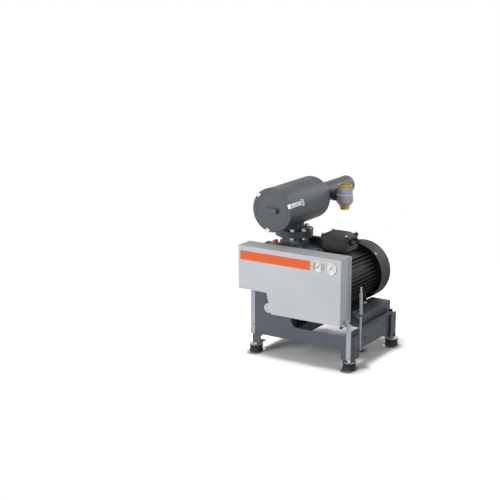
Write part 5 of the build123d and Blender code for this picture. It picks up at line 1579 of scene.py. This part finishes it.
        def outside(middle: Vector, normal: Vector) -> bool:
            """Whether a face lies outside the arc."""
            turn = math.degrees(math.atan2(middle.y, middle.x)) % 360
            return not start <= turn <= end

        ring.pick(outside)
        bpy.ops.mesh.delete(type="FACE")
        ring.leave()
        ring.modify("SOLIDIFY", thickness=self.print_t, offset=1.0)
        ring.place(self.on_dial(dial))
        ring.hand_over(finish, self.body, "dial_white")

    def pressure_arcs(self) -> None:
        """Green, yellow and red working ranges of the left dial."""
        ranges = (
            ("green", 134, 226, DIAL_GREEN), ("yellow", 46, 130, DIAL_YELLOW),
            ("red_high", 0, 42, DIAL_RED), ("red_low", 315, 360, DIAL_RED),
        )
        for name, start, end, finish in ranges:
            self.arc(f"dial_arc_{name}", self.dials[0], start, end, finish)

    def scale(self, index: int, dial: tuple[float, float]) -> None:
        """Ticks and numerals around a dial.

        Args:
            index: Which dial.
            dial: Its middle, across and up.
        """
        inner, outer = self.tick_r
        half = self.tick_w / 2
        tick = Work.slab(f"dial_ticks_{index}", (inner, -half, 0.0), (outer, half, self.print_t))
        tick.round_edges(0.00005, 1)
        upright = self.on_dial(dial)
        turns = [Matrix.Rotation(math.radians(-45 + step * 9), 4, "Z") for step in range(31)]
        tick.repeat(upright @ turn for turn in turns).hand_over(DIAL_BLACK, self.body, "pointer_black")
        numbers = []
        for step in range(7):
            angle = math.radians(225 - step * 45)
            Work.clear()
            bpy.ops.object.text_add()
            text = bpy.context.object
            text.data.body = str(step if index == 0 else step * 2)
            text.data.size = self.number_size
            text.data.extrude = self.print_t / 2
            text.data.align_x = "CENTER"
            text.data.align_y = "CENTER"
            bpy.ops.object.convert(target="MESH")
            number = Work(bpy.context.object, f"dial_number_{index}_{step}")
            spot = (self.number_r * math.cos(angle), self.number_r * math.sin(angle), self.print_t / 2)
            number.place(upright @ Matrix.Translation(spot))
            numbers.append(number)
        Work.clear()
        for number in numbers:
            number.obj.select_set(True)
        bpy.context.view_layer.objects.active = numbers[0].obj
        bpy.ops.object.join()
        numbers[0].obj.name = f"dial_numbers_{index}"
        numbers[0].hand_over(DIAL_BLACK, self.body, "pointer_black")


@dataclass
class Motor:
    """Finned motor on its rocker plate, with its terminal box and fan cowl."""

    body: str = "motor_rocker"
    axis: tuple[float, float] = (0.070, 0.420)
    foot_a: float = 0.254
    feet_y: tuple[float, float] = (-0.094, 0.116)
    cowl_screw_y: float = 0.250
    cowl_wall: float = 0.0029
    ring_w: float = 0.048
    ring_t: float = 0.0025
    ring_y: float = 0.2660
    foot_t: float = 0.018
    shield_ring: float = 0.136
    shield_set: float = 0.010
    lug_in: float = 0.013
    lug_rise: float = 0.004
    head_rise: float = 0.0122
    gland_in: tuple[float, float] = (0.010, 0.017)
    gland_z: float = 0.652

    def build(self) -> None:
        """Dress the motor and add its small parts."""
        dress(FRAME_PAINT, "rocker_plate")
        dress(MOTOR_PAINT, "motor_frame", "motor_end_shields")
        dress(BOX_PAINT, "terminal_box", "terminal_lid")
        dress(COWL_PAINT, "fan_cover")
        dress(FAN_PLASTIC, "motor_fan")
        dress(GLAND_PLASTIC, "cable_glands")
        dress(CORE, "motor_stator")
        steel = TurnedSteel("motor_shaft_steel", centre=self.axis)
        dress(steel, "motor_rotor", "motor_bearings")
        dress(PULLEY_CAST, "motor_pulley")
        self.foot_bolts()
        self.cowl_screws()
        self.box_lugs()
        self.shield_bolts()
        self.gland_caps()
        self.cowl_ring()

    def cowl_ring(self) -> None:
        """Black ring across the cowl's mouth behind the end shield: a sheet of painted shade where the open
        gap shows dark.
        """
        low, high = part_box("fan_cover")
        inside = (high.x - low.x) / 2 - self.cowl_wall
        ring = Work.flat_ring("cowl_ring", inside, inside - self.ring_w)
        ring.modify("SOLIDIFY", thickness=self.ring_t, offset=0.0)
        ring.place(frame_along(REAR, (self.axis[0], self.ring_y, self.axis[1])))
        ring.hand_over(COWL_PAINT, self.body, "cowl_black")

    def foot_bolts(self) -> None:
        """Bolts through the motor's feet."""
        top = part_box("motor_frame")[0].z + self.foot_t
        seats = [(self.axis[0] + side * self.foot_a / 2, y, top) for side in (-1, 1) for y in self.feet_y]
        M12_HEX.row("motor_foot_bolts", seats, UP).hand_over(PLATED, self.body, "zinc")

    def cowl_screws(self) -> None:
        """Screws that hold the fan cowl to the rear shield."""
        low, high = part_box("fan_cover")
        radius = (high.x - low.x) / 2
        for step in range(4):
            angle = math.radians(45 + step * 90)
            out = (math.cos(angle), 0.0, math.sin(angle))
            seat = (self.axis[0] + radius * out[0], self.cowl_screw_y, self.axis[1] + radius * out[2])
            M6_PAN.row(f"cowl_screw_{step}", [seat], out).hand_over(PLATED, self.body, "zinc")

    def box_lugs(self) -> None:
        """Cast lugs and their screws at the lid's corners."""
        low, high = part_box("terminal_lid")
        lug = Work.bar("lid_lugs", 0.0105, 0.011, 28)
        lug.inset(level_top, 0.0018, 0.0012)
        across = (low.x + self.lug_in, high.x - self.lug_in)
        along = (low.y + self.lug_in, high.y - self.lug_in)
        corners = [(x, y, low.z + self.lug_rise) for x in across for y in along]
        lugs = lug.repeat(Matrix.Translation(corner) for corner in corners)
        lugs.hand_over(BOX_PAINT, self.body, "motor_black")
        heads = [(x, y, z + self.head_rise) for x, y, z in corners]
        M6_PAN.row("lid_screws", heads, UP).hand_over(PLATED, self.body, "zinc")

    def shield_bolts(self) -> None:
        """Tie bolts around the front shield."""
        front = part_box("motor_frame")[0].y - self.shield_set
        seats = ring_seats((self.axis[0], front, self.axis[1]), self.shield_ring, 4, "Y", 45)
        M8_HEX.row("shield_bolts", seats, FRONT).hand_over(MOTOR_PAINT, self.body, "motor_black")

    def gland_caps(self) -> None:
        """Blanking discs in the cable glands."""
        low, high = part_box("cable_glands")
        cap = Work.bar("gland_caps", 0.0078, 0.006, 24)
        cap.inset(level_top, 0.0022, 0.0, -0.0016)
        along = (low.y + self.gland_in[1], high.y - self.gland_in[1])
        seats = [(high.x - self.gland_in[0], y, self.gland_z) for y in along]
        cap.repeat(frame_along(RIGHT, seat) for seat in seats).hand_over(
            GLAND_PLASTIC, self.body, "cowl_black"
        )


@dataclass
class Silencer:
    """Discharge silencer under the blower bench."""

    body: str = "base_unit"
    axis: tuple[float, float] = (-0.192, 0.190)
    drum_r: float = 0.086
    front_seam: float = 0.024
    rear_seam_y: float = 0.211

    def build(self) -> None:
        """Dress the silencer and add its seams."""
        dress(DRUM_PAINT, "discharge_silencer")
        low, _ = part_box("discharge_silencer")
        seam = Work.hoop("silencer_seams", self.drum_r + 0.0004, 0.0019, 96)
        seam.ripple(0.005, 0.0006)
        along = (low.y + self.front_seam, self.rear_seam_y)
        places = [frame_along(REAR, (self.axis[0], y, self.axis[1])) for y in along]
        seam.repeat(places).hand_over(DRUM_PAINT, self.body, "drum_paint")


# ---------------------------------------------------------------- studio
@dataclass(frozen=True)
class Viewpoint:
    """Camera that looks at the package from the right of its front."""

    at: Point = (3.726, -6.682, 2.524)
    azimuth: float = 32.40
    pitch: float = 14.21
    roll: float = 0.118
    lens: float = 99.03

    def set_up(self) -> None:
        """Create the camera."""
        turn, down, tilt = (math.radians(angle) for angle in (self.azimuth, self.pitch, self.roll))
        ahead = Vector((-math.sin(turn) * math.cos(down), math.cos(turn) * math.cos(down), -math.sin(down)))
        level = Vector((math.cos(turn), math.sin(turn), 0.0))
        above = level.cross(ahead)
        right = level * math.cos(tilt) + above * math.sin(tilt)
        up = above * math.cos(tilt) - level * math.sin(tilt)
        made = bpy.data.cameras.new("viewpoint")
        made.lens = self.lens
        made.sensor_width = 36.0
        made.clip_end = 60.0
        camera = bpy.data.objects.new("viewpoint", made)
        bpy.context.scene.collection.objects.link(camera)
        columns = Matrix((right, up, -ahead)).transposed()
        camera.matrix_world = Matrix.Translation(self.at) @ columns.to_4x4()
        bpy.context.scene.camera = camera


@dataclass(frozen=True)
class Lamp:
    """One soft area light aimed at the machine, or one that lights the floor alone."""

    name: str
    at: Point
    size: float
    watts: float
    floor_only: bool = False

    def set_up(self, floor: bpy.types.Object) -> None:
        """Create the light.

        Args:
            floor: The floor, which a floor light lights alone.
        """
        made = bpy.data.lights.new(self.name, "AREA")
        made.energy = self.watts
        made.size = self.size
        lamp = bpy.data.objects.new(self.name, made)
        lamp.matrix_world = frame_along(Vector(self.at) - Vector((0.0, 0.0, 0.45)), self.at)
        lamp.visible_camera = False
        bpy.context.scene.collection.objects.link(lamp)
        if self.floor_only:
            lit = bpy.data.collections.new("floor_only")
            lit.objects.link(floor)
            lamp.light_linking.receiver_collection = lit


@dataclass
class Studio:
    """Pale floor, white surround and soft lamps."""

    ambient: float = 0.26
    bounce: float = 0.34
    seen: float = 0.93
    fade: tuple[float, float] = (1.3, 2.6)
    lamps: tuple[Lamp, ...] = field(default_factory=lambda: (
        Lamp("key", (-1.7, -4.6, 1.7), 2.2, 148.0),
        Lamp("right_fill", (4.2, -1.4, 1.6), 2.0, 25.0),
        Lamp("overhead", (-0.6, 0.4, 4.2), 2.6, 20.0),
        Lamp("rear_fill", (1.0, 4.6, 2.2), 2.6, 40.0),
        Lamp("floor_light", (-0.9, -0.2, 5.4), 1.8, 330.0, floor_only=True),
    ))

    def build(self) -> None:
        """Create the floor, the world and the lamps."""
        floor = self.floor()
        self.surround()
        for lamp in self.lamps:
            lamp.set_up(floor)
        bpy.context.scene.view_settings.view_transform = "Standard"

    def floor(self) -> bpy.types.Object:
        """Pale floor that fades into the white surround, and bounces less light than it shows."""
        Work.clear()
        bpy.ops.mesh.primitive_plane_add(size=12.0, location=(0, 0, 0))
        floor = bpy.context.object
        floor.name = "studio_floor"
        shader = Shader("floor_white")
        out, _ = shader.around((0.0, 0.0), "Z")
        camera_ray = shader.node("ShaderNodeLightPath", output="Is Camera Ray")
        tone = shader.mix(camera_ray, (self.bounce,) * 3, (self.seen,) * 3)
        alpha = 1.0 - out.ramp(*self.fade)
        floor.data.materials.append(
            shader.surface(Base_Color=tone, Roughness=0.9, Specular_IOR_Level=0.0, Alpha=alpha)
        )
        return floor

    def surround(self) -> None:
        """World that lights softly and shows white to the camera, mirrors and glass."""
        world = bpy.data.worlds.new("studio")
        world.use_nodes = True
        tree = world.node_tree
        tree.nodes.clear()
        paths = tree.nodes.new("ShaderNodeLightPath")
        seen = None
        for ray in ("Is Camera Ray", "Is Glossy Ray", "Is Transmission Ray"):
            if seen is None:
                seen = paths.outputs[ray]
                continue
            either = tree.nodes.new("ShaderNodeMath")
            either.operation = "MAXIMUM"
            tree.links.new(seen, either.inputs[0])
            tree.links.new(paths.outputs[ray], either.inputs[1])
            seen = either.outputs[0]
        level = tree.nodes.new("ShaderNodeMapRange")
        level.inputs["To Min"].default_value = self.ambient
        level.inputs["To Max"].default_value = 1.0
        tree.links.new(seen, level.inputs["Value"])
        glow = tree.nodes.new("ShaderNodeBackground")
        glow.inputs["Color"].default_value = (1.0, 1.0, 1.0, 1.0)
        tree.links.new(level.outputs["Result"], glow.inputs["Strength"])
        end = tree.nodes.new("ShaderNodeOutputWorld")
        tree.links.new(glow.outputs["Background"], end.inputs["Surface"])
        bpy.context.scene.world = world


def main() -> None:
    """Build the studio and every sub-assembly in order."""
    logging.basicConfig(level=logging.INFO, format="%(name)s: %(message)s")
    Viewpoint().set_up()
    for part in (BaseFrame(), Blower(), IntakeSide(), ReliefValve(), BeltGuard(), Motor(), Silencer()):
        log.info("building %s", type(part).__name__)
        part.build()
    Studio().build()


if __name__ == "__main__":
    main()
